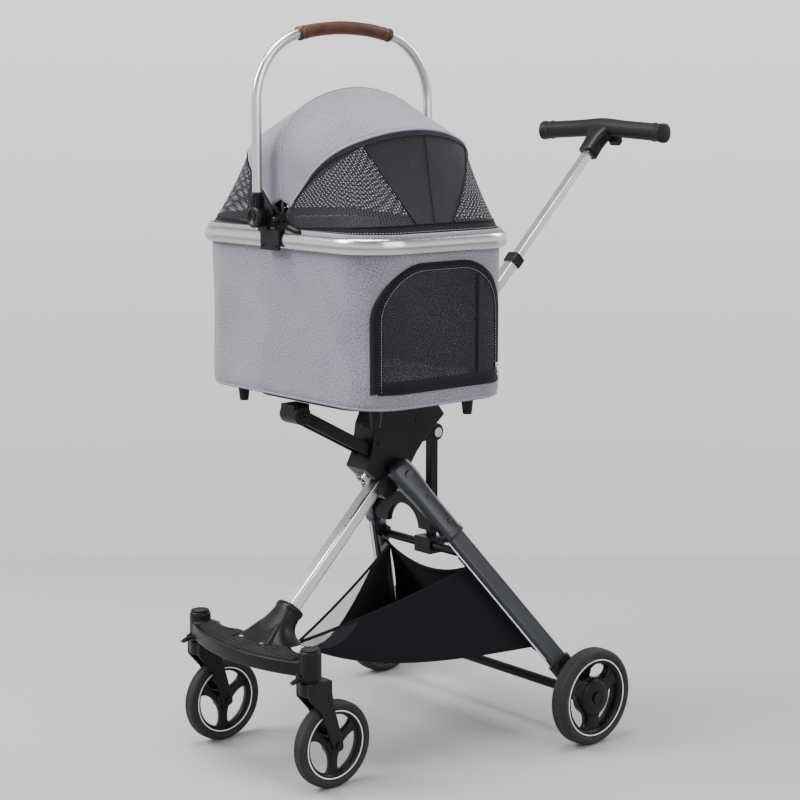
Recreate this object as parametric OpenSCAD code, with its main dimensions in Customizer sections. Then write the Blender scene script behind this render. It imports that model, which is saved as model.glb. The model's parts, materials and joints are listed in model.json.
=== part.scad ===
// Folding pet stroller: central-pole chassis with swivel casters and a lift-off soft carrier.
// Millimetres. Origin on the ground under the centre of the bounding box. Front is -Y, up is +Z.

/* [Wheels] */
// Radius of each rear wheel
rear_r = 90; // [80:1:100]
// Width of each rear tyre
rear_w = 34; // [28:1:38]
// Distance from the centre plane to each rear wheel's centre plane
rear_x = 297; // [290:1:305]
// Position of the rear axle along Y
rear_y = 134; // [130:1:140]
// Radius of each front wheel
front_r = 77.5; // [72:0.5:82]
// Width of each front tyre
front_w = 25; // [22:1:28]
// Distance from the centre plane to each caster stem
stem_x = 164; // [160:1:170]
// Position of the caster stems along Y
stem_y = -414; // [-418:1:-410]
// Distance by which each front wheel trails its stem
trail = 46; // [42:1:50]

/* [Chassis] */
// Height of the top of the caster sockets
socket_top = 254; // [250:1:258]
// Height of the front pole's axis above its own Y value
pole_rise = 609; // [606:1:612]
// Height of the handle tube's axis above its own Y value
tube_rise = 656; // [654:1:658]
// Position along Y of the pivot of the rear legs
pivot_y = -107; // [-108:1:-106]
// Height of the pivot of the rear legs
pivot_z = 500; // [499:1:501]
// Width of the front pole
pole_w = 28; // [26:1:29]
// Depth of the front pole
pole_d = 24; // [22:1:24]

/* [Handle] */
// Width of the outer handle tube
tube_w = 23; // [22:0.5:24]
// Depth of the outer handle tube
tube_d = 19; // [18:0.5:20]
// Position along Y of the middle of the T handle
bar_y = 452.5; // [451:0.5:454]
// Height of the middle of the T handle
bar_z = 1116; // [1112:1:1118]
// Half the length of the T handle
bar_half = 163; // [158:1:168]

/* [Carrier] */
// Position of the carrier's middle along Y
car_y = -185; // [-186:1:-184]
// Half the length of the carrier, across the stroller
car_a = 252; // [250:1:252]
// Half the depth of the carrier, along the stroller
car_b = 166; // [164:1:166]
// Corner radius of the carrier
car_r = 79; // [76:1:80]
// Height of the underside of the carrier
car_z = 662; // [661:1:664]
// Height of the middle of the rim tube
rim_z = 937; // [935:1:939]
// Thickness of the carrier's padded wall
wall = 5; // [4:0.5:6]
// Half the span of the lifting bow, at its centreline
bow_half = 194; // [193:0.5:195]
// Height of the bow's straight legs above the ground
bow_leg_z = 1170; // [1165:1:1175]
// Half the span of the canopy hoops
hoop_half = 165; // [163:0.5:166]

/* [Hidden] */
$fn = 48;

// Clearances and small common sizes
run_gap = 0.05;
slide_gap = 0.4;
skin_gap = 0.4;
pin_r = 5;
axle_r = 4;
stem_r = 6;
r2 = sqrt(2);

// Front pole and its neck on the plate: stations are Y values on the 45 degree axis
pole_start = -366;
pole_long = 238 * r2;
pole_corner = 5;
neck_start = pole_start - 6;
neck_long = 44;

// Wheels: radius of each tyre's seat on its rim, and of each hub
front_seat = 63;
front_hub = 15;
rear_seat = 74;
rear_hub = 22;
rear_axle_r = axle_r + 1;
axle_tube_r = 9;

// Pivots of the swivel locks and brake pedals
lock_y = stem_y - 23;
lock_z = 207;
lock_pin = 1.5;
brake_y = 152;
brake_z = 128;
brake_pin = 3;

// Screws of the front plate
screw_x = 30;
screw_y = -418;
screw_r = 2.5;
screw_head = 4.5;

// Rear legs: top on the pivot axis, bottom beside the wheel
leg_top = [47, pivot_y, pivot_z];
leg_low = [262, 124, 116];
leg_wide = 36;
leg_thin = 19;
leg_corner = 7;
leg_start = 50;
sleeve_wide = 40;
sleeve_thin = 25;
sleeve_part = 0.27;
brace_z = 345;

// Strut between the hub's ear and the latch on the brace
strut_y = 4;
strut_top = 560;
strut_low = 366;
strut_pin_r = 4;
latch_y = 12;
latch_z = brace_z - 7;
latch_pin = 2.5;

// Seat tray, seat arm and hub
tray_z = 647;
tray_t = 14.6;
tray_a = 168;
tray_b = 116;
hub_half = 30;
arm_front = [-317, 628];
arm_rear = [-134, 531];
arm_bar_x = 17;
arm_pin_r = 4;

// Release lever under the tray
lever_x0 = 66;
lever_x1 = 104;
lever_y = -213;
lever_z = 638;
lever_pin = 2;

// Handle tubes: stations are Y values on the 45 degree axis
tube_low_y = -167;
tube_high_y = 216;
inner_low_y = 72;
inner_high_y = 420;
tube_wall = 1.8;
inner_w = tube_w - 2 * tube_wall - 2 * slide_gap;
inner_d = tube_d - 2 * tube_wall - 2 * slide_gap;
collar_grip = 15;
collar_cap = 5;
trigger_y = bar_y + 2;
trigger_z = bar_z - 10;
trigger_pin = 1.8;

// Carrier's feet and floor
foot_x = 190;
foot_y = 105;
foot_bolt = 4;
board_t = 4;

// Rim, bow and canopy
rim_w = 13;
rim_h = 27;
rim_a = car_a + 1 + rim_w / 2;
rim_b = car_b + 1 + rim_w / 2;
rim_r = car_r + 8;
bow_x = -20;
bow_axis_z = 976;
bow_r = 8.5;
bow_corner = 121.5;
bow_top_r = 441.5;
ferrule_t = 0.4;
ferrule_gap = 0.3;
hoop_x = 15;
hoop_axis_z = 973;
hoop_rod = 2.5;
hoop_corner = 90;
hoop_leg = 108;
hoop_turn = 60;
bow_pin_r = 4;
hoop_pin_r = 3;
eye_t = 1.5;
eye_link = 32;
front_tilt = 46;
rear_tilt = -45;
hood_low = 35;
door_y = -9;
door_half = 138;
door_low = 690;
door_high = 908;
door_border = 16;

function leg_at(z) = leg_top + (leg_low - leg_top) * (leg_top[2] - z) / (leg_top[2] - leg_low[2]);
function unit(v) = v / norm(v);

// ---------- 2D helpers ----------

// Rectangle with true round corners, centred
module round_rect(w, h, r) {
    square([w, h - 2 * r], center = true);
    square([w - 2 * r, h], center = true);
    for (sx = [-1, 1], sy = [-1, 1])
        translate([sx * (w / 2 - r), sy * (h / 2 - r)]) circle(r);
}

// Side profile drawn in Y and Z, extruded across X from x0 to x1
module side_slab(x0, x1) {
    translate([x0, 0, 0]) rotate([90, 0, 90]) linear_extrude(x1 - x0) children();
}

// Children drawn upright are laid along the 45 degree line, at height rise above Y, from station y0
module on_slope(rise, y0) {
    translate([0, y0, y0 + rise]) rotate([-45, 0, 0]) children();
}

// Z axis laid from p to q, with local Y kept in the plane that holds the X axis
module along(p, q) {
    d = unit(q - p);
    u = unit([1, 0, 0] - d[0] * d);
    polar = acos(d[2]);
    turn = atan2(d[1], d[0]);
    lx = [cos(polar) * cos(turn), cos(polar) * sin(turn), -sin(polar)];
    ly = [-sin(turn), cos(turn), 0];
    roll = atan2(u * ly, u * lx);
    translate(p) rotate([0, polar, turn]) rotate([0, 0, roll]) children();
}

module x_rod(x0, x1, y, z, r) {
    translate([x0, y, z]) rotate([0, 90, 0]) cylinder(r = r, h = x1 - x0);
}

module mirrored(side) {
    if (side < 0) mirror([1, 0, 0]) children();
    else children();
}

// ---------- Wheels ----------

// Tyre about the Z axis, centred on z = 0
module tyre_body(r, w, inner) {
    shoulder = w * 0.3;
    rotate_extrude($fn = 96) intersection() {
        union() {
            translate([inner, -w / 2 + 1.5]) square([r - inner - shoulder, w - 3]);
            for (s = [-1, 1]) translate([r - shoulder, s * (w / 2 - shoulder)]) circle(shoulder);
            translate([r - shoulder - 0.5, -(w / 2 - shoulder)])
                square([shoulder + 0.5, w - 2 * shoulder]);
        }
        translate([inner, -w / 2]) square([r - inner, w]);
    }
}

// Three-spoke rim about the Z axis, with a bore for its axle
module rim_body(r, w, hub_r, bore) {
    band = r * 0.16;
    spoke_w = hub_r * 1.15;
    difference() {
        union() {
            difference() {
                cylinder(r = r, h = w, center = true, $fn = 96);
                cylinder(r = r - band, h = w + 2, center = true, $fn = 96);
            }
            cylinder(r = hub_r, h = w + 2, center = true);
            for (k = [0:2])
                rotate(k * 120 + 30)
                    translate([hub_r * 0.5, -spoke_w / 2, -w * 0.3])
                        cube([r - band * 0.5 - hub_r * 0.5, spoke_w, w * 0.6]);
        }
        cylinder(r = bore, h = w + 10, center = true);
    }
}

module at_front_wheel(side) {
    translate([side * stem_x, stem_y + trail, front_r]) rotate([0, side * 90, 0]) children();
}

module at_rear_wheel(side) {
    translate([side * rear_x, rear_y, rear_r]) rotate([0, side * 90, 0]) children();
}

module front_rim(side) {
    color([0.1, 0.1, 0.11]) at_front_wheel(side)
        rim_body(front_seat, front_w - 5, front_hub, axle_r + run_gap);
}

module front_tyre(side) {
    color([0.15, 0.15, 0.16]) at_front_wheel(side) tyre_body(front_r, front_w, front_seat);
}

module rear_rim(side) {
    color([0.1, 0.1, 0.11]) at_rear_wheel(side)
        rim_body(rear_seat, rear_w - 8, rear_hub, rear_axle_r + run_gap);
}

module rear_tyre(side) {
    color([0.15, 0.15, 0.16]) at_rear_wheel(side) tyre_body(rear_r, rear_w, rear_seat);
}

// ---------- Casters ----------

fork_in = 14.6;
fork_out = 20.6;
fork_top = 199;

module fork_profile() {
    axle = [stem_y + trail, front_r];
    hull() {
        translate(axle) circle(11, $fn = 32);
        translate([stem_y + 22, 150]) circle(15, $fn = 32);
    }
    hull() {
        translate([stem_y + 22, 150]) circle(15, $fn = 32);
        translate([stem_y - 17, 172]) square([50, 6]);
    }
    translate([stem_y - 17, 172]) square([50, fork_top - 172]);
}

module caster_fork(side) {
    color([0.14, 0.14, 0.15]) translate([side * stem_x, 0, 0]) difference() {
        union() {
            for (s = [-1, 1])
                side_slab(s > 0 ? fork_in : -fork_out, s > 0 ? fork_out : -fork_in) fork_profile();
            translate([0, stem_y, 174]) cylinder(r = 20.6, h = fork_top - 174);
            translate([-fork_in - 1, stem_y - 17, 182]) cube([2 * fork_in + 2, 50, fork_top - 182]);
        }
        x_rod(-40, 40, stem_y + trail, front_r, axle_r + run_gap);
        translate([0, stem_y, 160]) cylinder(r = stem_r, h = 60);
    }
}

module caster_stem(side) {
    color([0.75, 0.75, 0.77]) translate([side * stem_x, stem_y, 0]) {
        translate([0, 0, 178]) cylinder(r = stem_r, h = 68);
        translate([0, 0, fork_top + 0.3]) cylinder(r = stem_r + 4, h = 1.5);
    }
}

module front_axle(side) {
    color([0.7, 0.7, 0.72]) translate([side * stem_x, stem_y + trail, front_r]) {
        x_rod(-fork_out - 2, fork_out + 2, 0, 0, axle_r);
        for (s = [-1, 1])
            x_rod(s > 0 ? fork_out + 0.2 : -fork_out - 3.2, s > 0 ? fork_out + 3.2 : -fork_out - 0.2,
                0, 0, 7);
    }
}

// Small lever below the socket's front that drops a pin into the fork
module swivel_lock(side) {
    color([0.08, 0.08, 0.09]) translate([side * stem_x, lock_y, lock_z]) difference() {
        union() {
            x_rod(-5, 5, 0, 0, 3.6);
            side_slab(-4, 4) polygon([[-17, -7], [-18, -3.5], [-2, 3.2], [2, 2.6], [0, -3.2]]);
        }
        x_rod(-8, 8, 0, 0, lock_pin + 0.1);
    }
}

// ---------- Front plate and pole ----------

plate_top = 234;
plate_low = 208;
plate_arc_r = 361;
plate_front = -471;

module plate_outline(inset) {
    centre_y = plate_front + plate_arc_r;
    difference() {
        intersection() {
            translate([0, centre_y]) circle(plate_arc_r - inset, $fn = 160);
            translate([-stem_x, plate_front]) square([2 * stem_x, 84 - inset]);
        }
        for (s = [-1, 1])
            translate([s * 108, -345]) circle(52 + inset, $fn = 64);
    }
}

module front_plate() {
    color([0.12, 0.12, 0.13]) difference() {
        union() {
            translate([0, 0, plate_low]) linear_extrude(plate_top - plate_low) plate_outline(0);
            for (s = [-1, 1]) {
                translate([s * stem_x, stem_y, 201.5]) cylinder(r = 19.5, h = socket_top - 204.5);
                translate([s * stem_x, stem_y, socket_top - 4]) cylinder(r = 17.5, h = 4);
                translate([s * stem_x - 8, stem_y - 27.6, 203]) cube([2.6, 12, 10]);
                translate([s * stem_x + 5.4, stem_y - 27.6, 203]) cube([2.6, 12, 10]);
            }
            hull() {
                on_slope(pole_rise, neck_start) translate([-21, -18, 0]) cube([42, 36, 30]);
                translate([-46, -425, plate_top - 8]) cube([92, 38, 4]);
            }
            on_slope(pole_rise, neck_start) linear_extrude(neck_long) round_rect(42, 37, 9);
        }
        on_slope(pole_rise, pole_start) linear_extrude(120) round_rect(pole_w, pole_d, pole_corner);
        for (s = [-1, 1])
            translate([s * stem_x, stem_y, 190]) cylinder(r = stem_r + run_gap, h = 57);
        for (s = [-1, 1])
            translate([s * stem_x, lock_y, lock_z]) rotate([0, 90, 0])
                cylinder(r = 5, h = 10.8, center = true);
        translate([0, 0, plate_top - 3]) linear_extrude(10) tread_outline();
        for (x = [-screw_x, screw_x]) {
            translate([x, screw_y, 200]) cylinder(r = screw_r, h = 60);
            translate([x, screw_y, plate_top]) cylinder(r = screw_head + run_gap, h = 40);
        }
    }
    color([0.12, 0.12, 0.13]) for (s = [-1, 1])
        x_rod(s * stem_x - 7, s * stem_x + 7, lock_y, lock_z, lock_pin);
}

module tread_outline() {
    intersection() {
        plate_outline(9);
        difference() {
            translate([-138, plate_front]) square([276, 90]);
            translate([-48, -428]) square([96, 60]);
        }
    }
}

module plate_tread() {
    color([0.05, 0.05, 0.055]) {
        translate([0, 0, plate_top - 3]) linear_extrude(3.6) tread_outline();
        translate([0, 0, plate_top + 0.6]) linear_extrude(1.2) intersection() {
            tread_outline();
            for (k = [-17:17]) translate([k * 8 - 1.8, plate_front]) square([3.6, 90]);
        }
    }
}

module plate_screws() {
    color([0.8, 0.8, 0.82]) for (x = [-screw_x, screw_x]) translate([x, screw_y, 0]) {
        translate([0, 0, plate_low - 2]) cylinder(r = screw_r, h = 28);
        translate([0, 0, plate_top]) cylinder(r = screw_head, h = 2.5);
    }
}

module front_pole() {
    color([0.82, 0.83, 0.84]) on_slope(pole_rise, pole_start) difference() {
        linear_extrude(pole_long) round_rect(pole_w, pole_d, pole_corner);
        translate([0, 0, -1]) linear_extrude(pole_long + 2) round_rect(pole_w - 4, pole_d - 4, 3);
    }
}

// ---------- Hub ----------

module hub_profile() {
    polygon([[-180, 514], [-166, 540], [-158, 590], [-132, tray_z], [-20, tray_z], [-18, 632],
        [10, 596], [-34, 560], [-60, 530], [-72, 512], [-84, 480], [-130, 452], [-142, 462],
        [-128, 500], [-156, 492]]);
}

module hub_casting() {
    color([0.09, 0.09, 0.1]) difference() {
        union() {
            side_slab(-hub_half, hub_half) hub_profile();
            side_slab(-15, 15) {
                translate([strut_y, strut_top]) circle(17);
                translate([-50, strut_top - 14]) square([54, 60]);
            }
        }
        on_slope(tube_rise, -260) linear_extrude(700)
            round_rect(tube_w + 2 * slide_gap, tube_d + 2 * slide_gap, 3);
        on_slope(pole_rise, pole_start) linear_extrude(pole_long)
            round_rect(pole_w, pole_d, pole_corner);
        x_rod(-60, 60, pivot_y, pivot_z, pin_r + run_gap);
        // Slot for the strut's head
        translate([-8.4, strut_y - 20, strut_top - 70]) cube([16.8, 80, 92]);
        x_rod(-40, 40, strut_y, strut_top, strut_pin_r);
        // Slots for the two bars of the seat arm
        for (s = [-1, 1]) translate([s * arm_bar_x, 0, 0]) side_slab(-3.6, 3.6) arm_bar_profile(0.1);
    }
}

// Bolt that carries the rear legs, with a domed head at each end
module leg_pivot_bolt() {
    color([0.85, 0.85, 0.87]) {
        x_rod(-66, 66, pivot_y, pivot_z, pin_r);
        for (s = [-1, 1]) x_rod(s > 0 ? 61.5 : -66, s > 0 ? 66 : -61.5, pivot_y, pivot_z, 9);
    }
}

// ---------- Seat support ----------

module arm_bar_profile(grow) {
    d = unit([arm_rear[0] - arm_front[0], arm_rear[1] - arm_front[1]]);
    n = [-d[1], d[0]];
    half = 11 + grow;
    a = arm_front;
    b = arm_rear;
    polygon([a + half * n, b + half * n, b - half * n, a - half * n]);
    translate(b) circle(half);
}

module seat_arm() {
    color([0.07, 0.07, 0.075]) difference() {
        union() {
            for (s = [-1, 1]) translate([s * arm_bar_x, 0, 0]) side_slab(-3.5, 3.5) arm_bar_profile(0);
            x_rod(-24, 24, arm_front[0], arm_front[1], 17.5);
            translate([-20, arm_front[0] - 17, arm_front[1]]) cube([40, 34, tray_z - arm_front[1]]);
        }
        x_rod(-40, 40, arm_front[0], arm_front[1], arm_pin_r);
    }
}

module seat_tray() {
    color([0.06, 0.06, 0.065]) for (x = [lever_x0 - 4.5, lever_x1 + 0.5])
        side_slab(x, x + 4) difference() {
            translate([lever_y - 7, lever_z - 7]) square([14, tray_z - lever_z + 7]);
            translate([lever_y, lever_z]) circle(lever_pin);
        }
    color([0.06, 0.06, 0.065]) x_rod(lever_x0 - 4.5, lever_x1 + 4.5, lever_y, lever_z, lever_pin);
    color([0.06, 0.06, 0.065]) difference() {
        translate([0, car_y, tray_z]) linear_extrude(tray_t)
            round_rect(2 * tray_a, 2 * tray_b, 70);
        translate([0, car_y, tray_z + 4]) linear_extrude(tray_t)
            round_rect(2 * tray_a - 24, 2 * tray_b - 24, 58);
        for (sx = [-1, 1], sy = [-1, 1]) translate([sx * 95, car_y + sy * 62, tray_z - 1])
            linear_extrude(tray_t) round_rect(80, 34, 12);
    }
}

// Paddle under the tray's near side that frees the carrier
module release_lever() {
    color([0.08, 0.08, 0.09]) difference() {
        union() {
            x_rod(lever_x0, lever_x1, lever_y, lever_z, 5);
            side_slab(lever_x0 + 4, lever_x1 - 4) translate([lever_y, lever_z])
                polygon([[-5, -2], [5, -2], [3, -36], [-6, -36]]);
        }
        x_rod(lever_x0 - 5, lever_x1 + 5, lever_y, lever_z, lever_pin + run_gap);
    }
}

// ---------- Rear frame ----------

module leg_sleeve(side) {
    mirrored(side) color([0.2, 0.21, 0.25]) difference() {
        union() {
            along(leg_top, leg_low)
                linear_extrude(norm(leg_low - leg_top) * sleeve_part)
                    round_rect(sleeve_thin, sleeve_wide, 11);
            x_rod(31.5, 60, pivot_y, pivot_z, 19);
        }
        x_rod(0, 100, pivot_y, pivot_z, pin_r + run_gap);
        along(leg_top, leg_low) translate([0, 0, leg_start]) linear_extrude(600)
            round_rect(leg_thin, leg_wide, leg_corner);
        translate([-20, pivot_y - 80, pivot_z - 60]) cube([51.5, 200, 120]);
        translate([61, pivot_y - 80, pivot_z - 30]) cube([20, 160, 60]);
    }
}

module leg_tube(side) {
    full = norm(leg_low - leg_top);
    mirrored(side) color([0.22, 0.23, 0.27]) along(leg_top, leg_low) translate([0, 0, leg_start])
        difference() {
            linear_extrude(full - leg_start - 12) round_rect(leg_thin, leg_wide, leg_corner);
            translate([0, 0, -1]) linear_extrude(full - leg_start - 10)
                round_rect(leg_thin - 4, leg_wide - 4, leg_corner - 2);
        }
}

// Foot of a leg: socket for the tube, boss for the axle, and two ears that carry the brake pedal
module axle_bracket(side) {
    full = norm(leg_low - leg_top);
    mirrored(side) color([0.1, 0.1, 0.11]) difference() {
        union() {
            along(leg_top, leg_low) translate([0, 0, full - 46]) linear_extrude(46)
                round_rect(leg_thin + 8, leg_wide + 8, 8);
            x_rod(240, 274, rear_y, rear_r, 17);
            side_slab(248, 272) polygon([[98, 132], [140, 136], [151, 92], [120, 78]]);
            for (x = [247, 268]) side_slab(x, x + 4.5)
                polygon([[128, 118], [128, 140], [150, 138], [160, 130], [156, 118]]);
        }
        x_rod(200, 300, rear_y, rear_r, rear_axle_r);
        x_rod(200, 246, rear_y, rear_r, axle_tube_r);
        along(leg_top, leg_low) translate([0, 0, full - 60]) linear_extrude(48)
            round_rect(leg_thin, leg_wide, leg_corner);
        translate([275, 60, 40]) cube([40, 140, 160]);
        x_rod(230, 290, brake_y, brake_z, brake_pin + run_gap);
        translate([253.5, 136, 112]) cube([13, 40, 40]);
    }
}

module rear_axle_tube() {
    color([0.12, 0.12, 0.13]) difference() {
        x_rod(-246, 246, rear_y, rear_r, axle_tube_r);
        x_rod(-250, 250, rear_y, rear_r, axle_tube_r - 2);
    }
}

// Stub axles of the rear wheels, each with its cap nut
module rear_axles() {
    color([0.7, 0.7, 0.72]) for (s = [-1, 1]) mirrored(s) {
        x_rod(247, 313.5, rear_y, rear_r, rear_axle_r);
        x_rod(311.5, 316, rear_y, rear_r, 10);
    }
}

// Foot pedal of the rear brake, on its pin
module brake_pedal(side) {
    mirrored(side) color([0.07, 0.07, 0.075]) {
        side_slab(254, 266) {
            translate([brake_y, brake_z]) circle(7);
            polygon([[150, 134], [154, 122], [186, 138], [190, 148], [184, 150]]);
        }
        x_rod(244, 275, brake_y, brake_z, brake_pin);
        translate([246, 180, 144]) cube([30, 16, 5]);
    }
}

module cross_brace() {
    end = leg_at(brace_z);
    color([0.09, 0.09, 0.1]) difference() {
        union() {
            x_rod(-end[0] + 16, end[0] - 16, end[1] + 6, brace_z, 8);
            for (s = [-1, 1]) mirrored(s) along(leg_top, leg_low)
                translate([-leg_thin / 2 - 9.1, -15, norm(end - leg_top) - 15]) cube([9, 30, 30]);
            translate([-22, -20, brace_z - 15]) cube([44, 38, 30]);
        }
        translate([-9, -7, brace_z + 3]) cube([18, 30, 20]);
        translate([-13.6, 4, brace_z - 16]) cube([27.2, 20, 15]);
        x_rod(-30, 30, latch_y, latch_z, latch_pin + run_gap);
    }
}

// Moulded web that ties the two leg sleeves below the hub
module leg_yoke() {
    yoke_y = -62;
    low_z = 404;
    high_z = 452;
    low = leg_at(low_z);
    high = leg_at(high_z);
    color([0.13, 0.13, 0.15]) difference() {
        translate([0, yoke_y, 0]) rotate([90, 0, 0]) linear_extrude(12, center = true) polygon([
            [-high[0] + 11.5, high_z], [high[0] - 11.5, high_z], [low[0] - 18.8, low_z],
            [low[0] - 25, low_z - 12], [-low[0] + 25, low_z - 12], [-low[0] + 18.8, low_z]]);
        translate([0, yoke_y, low_z - 16]) rotate([90, 0, 0]) cylinder(r = 44, h = 40, center = true);
    }
}

// Hook that locks the strut's foot in the brace
module latch_lever() {
    color([0.6, 0.6, 0.62]) {
        x_rod(-24, 24, latch_y, latch_z, latch_pin);
        side_slab(-13, 13) polygon([[8, brace_z - 5], [16, brace_z - 4], [40, brace_z - 22],
            [38, brace_z - 26], [14, brace_z - 12]]);
    }
}

module fold_strut() {
    color([0.07, 0.07, 0.075]) difference() {
        union() {
            translate([-8, strut_y - 8.5, strut_low]) cube([16, 17, strut_top - strut_low]);
            x_rod(-8, 8, strut_y, strut_top, 13);
            translate([-7, strut_y - 7, brace_z + 5]) cube([14, 14, strut_low - brace_z - 4]);
        }
        x_rod(-20, 20, strut_y, strut_top, strut_pin_r + run_gap);
    }
}

module strut_pin() {
    color([0.8, 0.8, 0.82]) {
        x_rod(-19, 19, strut_y, strut_top, strut_pin_r);
        for (s = [-1, 1]) x_rod(s > 0 ? 15.1 : -19, s > 0 ? 19 : -15.1, strut_y, strut_top, 9);
    }
}

// ---------- Handle ----------

module outer_tube() {
    color([0.85, 0.86, 0.87]) on_slope(tube_rise, tube_low_y) difference() {
        linear_extrude((tube_high_y - tube_low_y) * r2) round_rect(tube_w, tube_d, 3);
        translate([0, 0, -1]) linear_extrude((tube_high_y - tube_low_y) * r2 + 2)
            round_rect(tube_w - 2 * tube_wall, tube_d - 2 * tube_wall, 1.5);
    }
}

module tube_collar() {
    color([0.08, 0.08, 0.09]) on_slope(tube_rise, tube_high_y) difference() {
        translate([0, 0, -collar_grip]) linear_extrude(collar_grip + collar_cap)
            round_rect(tube_w + 7, tube_d + 7, 5);
        translate([0, 0, -collar_grip - 1]) linear_extrude(collar_grip + 1)
            round_rect(tube_w, tube_d, 3);
        translate([0, 0, -2]) linear_extrude(20)
            round_rect(inner_w + 2 * slide_gap, inner_d + 2 * slide_gap, 2);
    }
}

module inner_tube() {
    long = (inner_high_y - inner_low_y) * r2;
    color([0.88, 0.89, 0.9]) on_slope(tube_rise, inner_low_y) difference() {
        linear_extrude(long) round_rect(inner_w, inner_d, 1.5);
        translate([0, 0, -1]) linear_extrude(long + 2) round_rect(inner_w - 3, inner_d - 3, 1);
    }
}

module handle_bar() {
    color([0.07, 0.07, 0.075]) difference() {
        union() {
            for (s = [-1, 1]) hull() {
                translate([0, bar_y, bar_z + 3]) rotate([0, 90, 0])
                    cylinder(r = 14, h = 2, center = true, $fn = 32);
                translate([s * (bar_half - 30), bar_y, bar_z - 2]) rotate([0, 90, 0])
                    cylinder(r = 15, h = 2, center = true, $fn = 32);
            }
            for (s = [-1, 1]) hull() {
                translate([s * (bar_half - 30), bar_y, bar_z - 2]) rotate([0, 90, 0])
                    cylinder(r = 15, h = 2, center = true, $fn = 32);
                translate([s * (bar_half - 3), bar_y, bar_z - 2]) rotate([0, 90, 0])
                    cylinder(r = 18.5, h = 6, center = true, $fn = 32);
            }
            hull() {
                on_slope(tube_rise, 414) translate([-16, -13, 0]) cube([32, 26, 6]);
                translate([-26, bar_y - 13, bar_z - 10]) cube([52, 26, 14]);
            }
        }
        on_slope(tube_rise, inner_low_y) linear_extrude((inner_high_y - inner_low_y) * r2)
            round_rect(inner_w, inner_d, 1.5);
        translate([15.6, bar_y - 8, bar_z - 30]) cube([28.8, 30, 26]);
    }
    color([0.07, 0.07, 0.075]) x_rod(14, 46, trigger_y, trigger_z, trigger_pin);
}

// Squeeze lever under the bar, beside the neck
module handle_trigger() {
    color([0.12, 0.12, 0.13]) difference() {
        side_slab(17, 43) polygon([[bar_y - 5, bar_z - 6], [bar_y + 8, bar_z - 6],
            [bar_y + 12, bar_z - 26], [bar_y + 4, bar_z - 34], [bar_y - 2, bar_z - 26]]);
        x_rod(10, 50, trigger_y, trigger_z, trigger_pin + run_gap);
    }
}

// ---------- Basket ----------

module basket_hull(inset, top) {
    hull() {
        translate([0, -318 + inset * 2, 210 + top]) cube([40 - 2 * inset, 4, 4], center = true);
        for (s = [-1, 1]) {
            translate([s * (116 - inset), -2 - inset, 322 + top]) cube(4, center = true);
            translate([s * (196 - 2 * inset), 82 - 2 * inset, 170 + top / 2]) cube(4, center = true);
            translate([s * (70 - inset), -150, 136 + inset]) cube(4, center = true);
            translate([s * (96 - inset), 20 - inset, 120 + inset]) cube(4, center = true);
        }
    }
}

module storage_basket() {
    color([0.06, 0.06, 0.07]) difference() {
        basket_hull(0, 0);
        basket_hull(3, 12);
    }
}

// ---------- Carrier ----------

module car_outline(grow) {
    round_rect(2 * (car_a + grow), 2 * (car_b + grow), car_r + grow);
}

// Door arch seen along X, grown outwards by g
module door_arch(g) {
    arch_r = 96;
    translate([car_y + door_y, 0]) {
        translate([-door_half - g, door_low - g])
            square([2 * (door_half + g), door_high - arch_r - door_low + g]);
        translate([-(door_half - arch_r), door_low])
            square([2 * (door_half - arch_r), door_high + g - door_low]);
        for (s = [-1, 1]) translate([s * (door_half - arch_r), door_high - arch_r])
            circle(arch_r + g, $fn = 96);
    }
}

module carrier_shell() {
    color([0.62, 0.61, 0.65]) difference() {
        translate([0, car_y, car_z]) linear_extrude(rim_z + 12 - car_z) car_outline(0);
        translate([0, car_y, car_z + wall]) linear_extrude(400) car_outline(-wall);
        side_slab(150, 300) door_arch(-door_border);
        for (sx = [-1, 1], sy = [-1, 1]) translate([sx * foot_x, car_y + sy * foot_y, car_z - 1])
            cylinder(r = foot_bolt, h = 20);
    }
}

module carrier_board() {
    color([0.1, 0.1, 0.1]) difference() {
        translate([0, car_y, car_z + wall]) linear_extrude(board_t) car_outline(-wall - 1);
        for (sx = [-1, 1], sy = [-1, 1]) translate([sx * foot_x, car_y + sy * foot_y, car_z - 1])
            cylinder(r = foot_bolt, h = 20);
    }
}

module carrier_cushion() {
    color([0.55, 0.54, 0.58]) translate([0, car_y, car_z + wall + board_t + 0.3]) {
        linear_extrude(18) car_outline(-wall - 6);
        translate([0, 0, 18]) linear_extrude(8) car_outline(-wall - 16);
    }
}

// Tapered feet, each bolted through the floor
module carrier_feet() {
    color([0.05, 0.05, 0.055]) for (sx = [-1, 1], sy = [-1, 1])
        translate([sx * foot_x, car_y + sy * foot_y, car_z]) {
            translate([0, 0, -35]) cylinder(r1 = 8, r2 = 12, h = 35);
            cylinder(r = foot_bolt, h = wall + board_t);
        }
}

// Oval tube bent round the carrier's mouth
module rim_section() {
    square([rim_w, rim_h - rim_w], center = true);
    for (s = [-1, 1]) translate([0, s * (rim_h - rim_w) / 2]) circle(rim_w / 2);
}

module rim_tube() {
    along_x = rim_a - rim_r;
    along_y = rim_b - rim_r;
    color([0.85, 0.86, 0.87]) translate([0, car_y, rim_z]) {
        for (s = [-1, 1]) {
            translate([-along_x, s * rim_b, 0]) rotate([90, 0, 90])
                linear_extrude(2 * along_x) rim_section();
            translate([s * rim_a, along_y, 0]) rotate([90, 0, 0])
                linear_extrude(2 * along_y) rim_section();
        }
        for (k = [0:3]) rotate(k * 90)
            translate([k % 2 == 0 ? along_x : along_y, k % 2 == 0 ? along_y : along_x, 0])
                rotate_extrude(angle = 90, $fn = 96) translate([rim_r, 0]) rim_section();
    }
}

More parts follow.
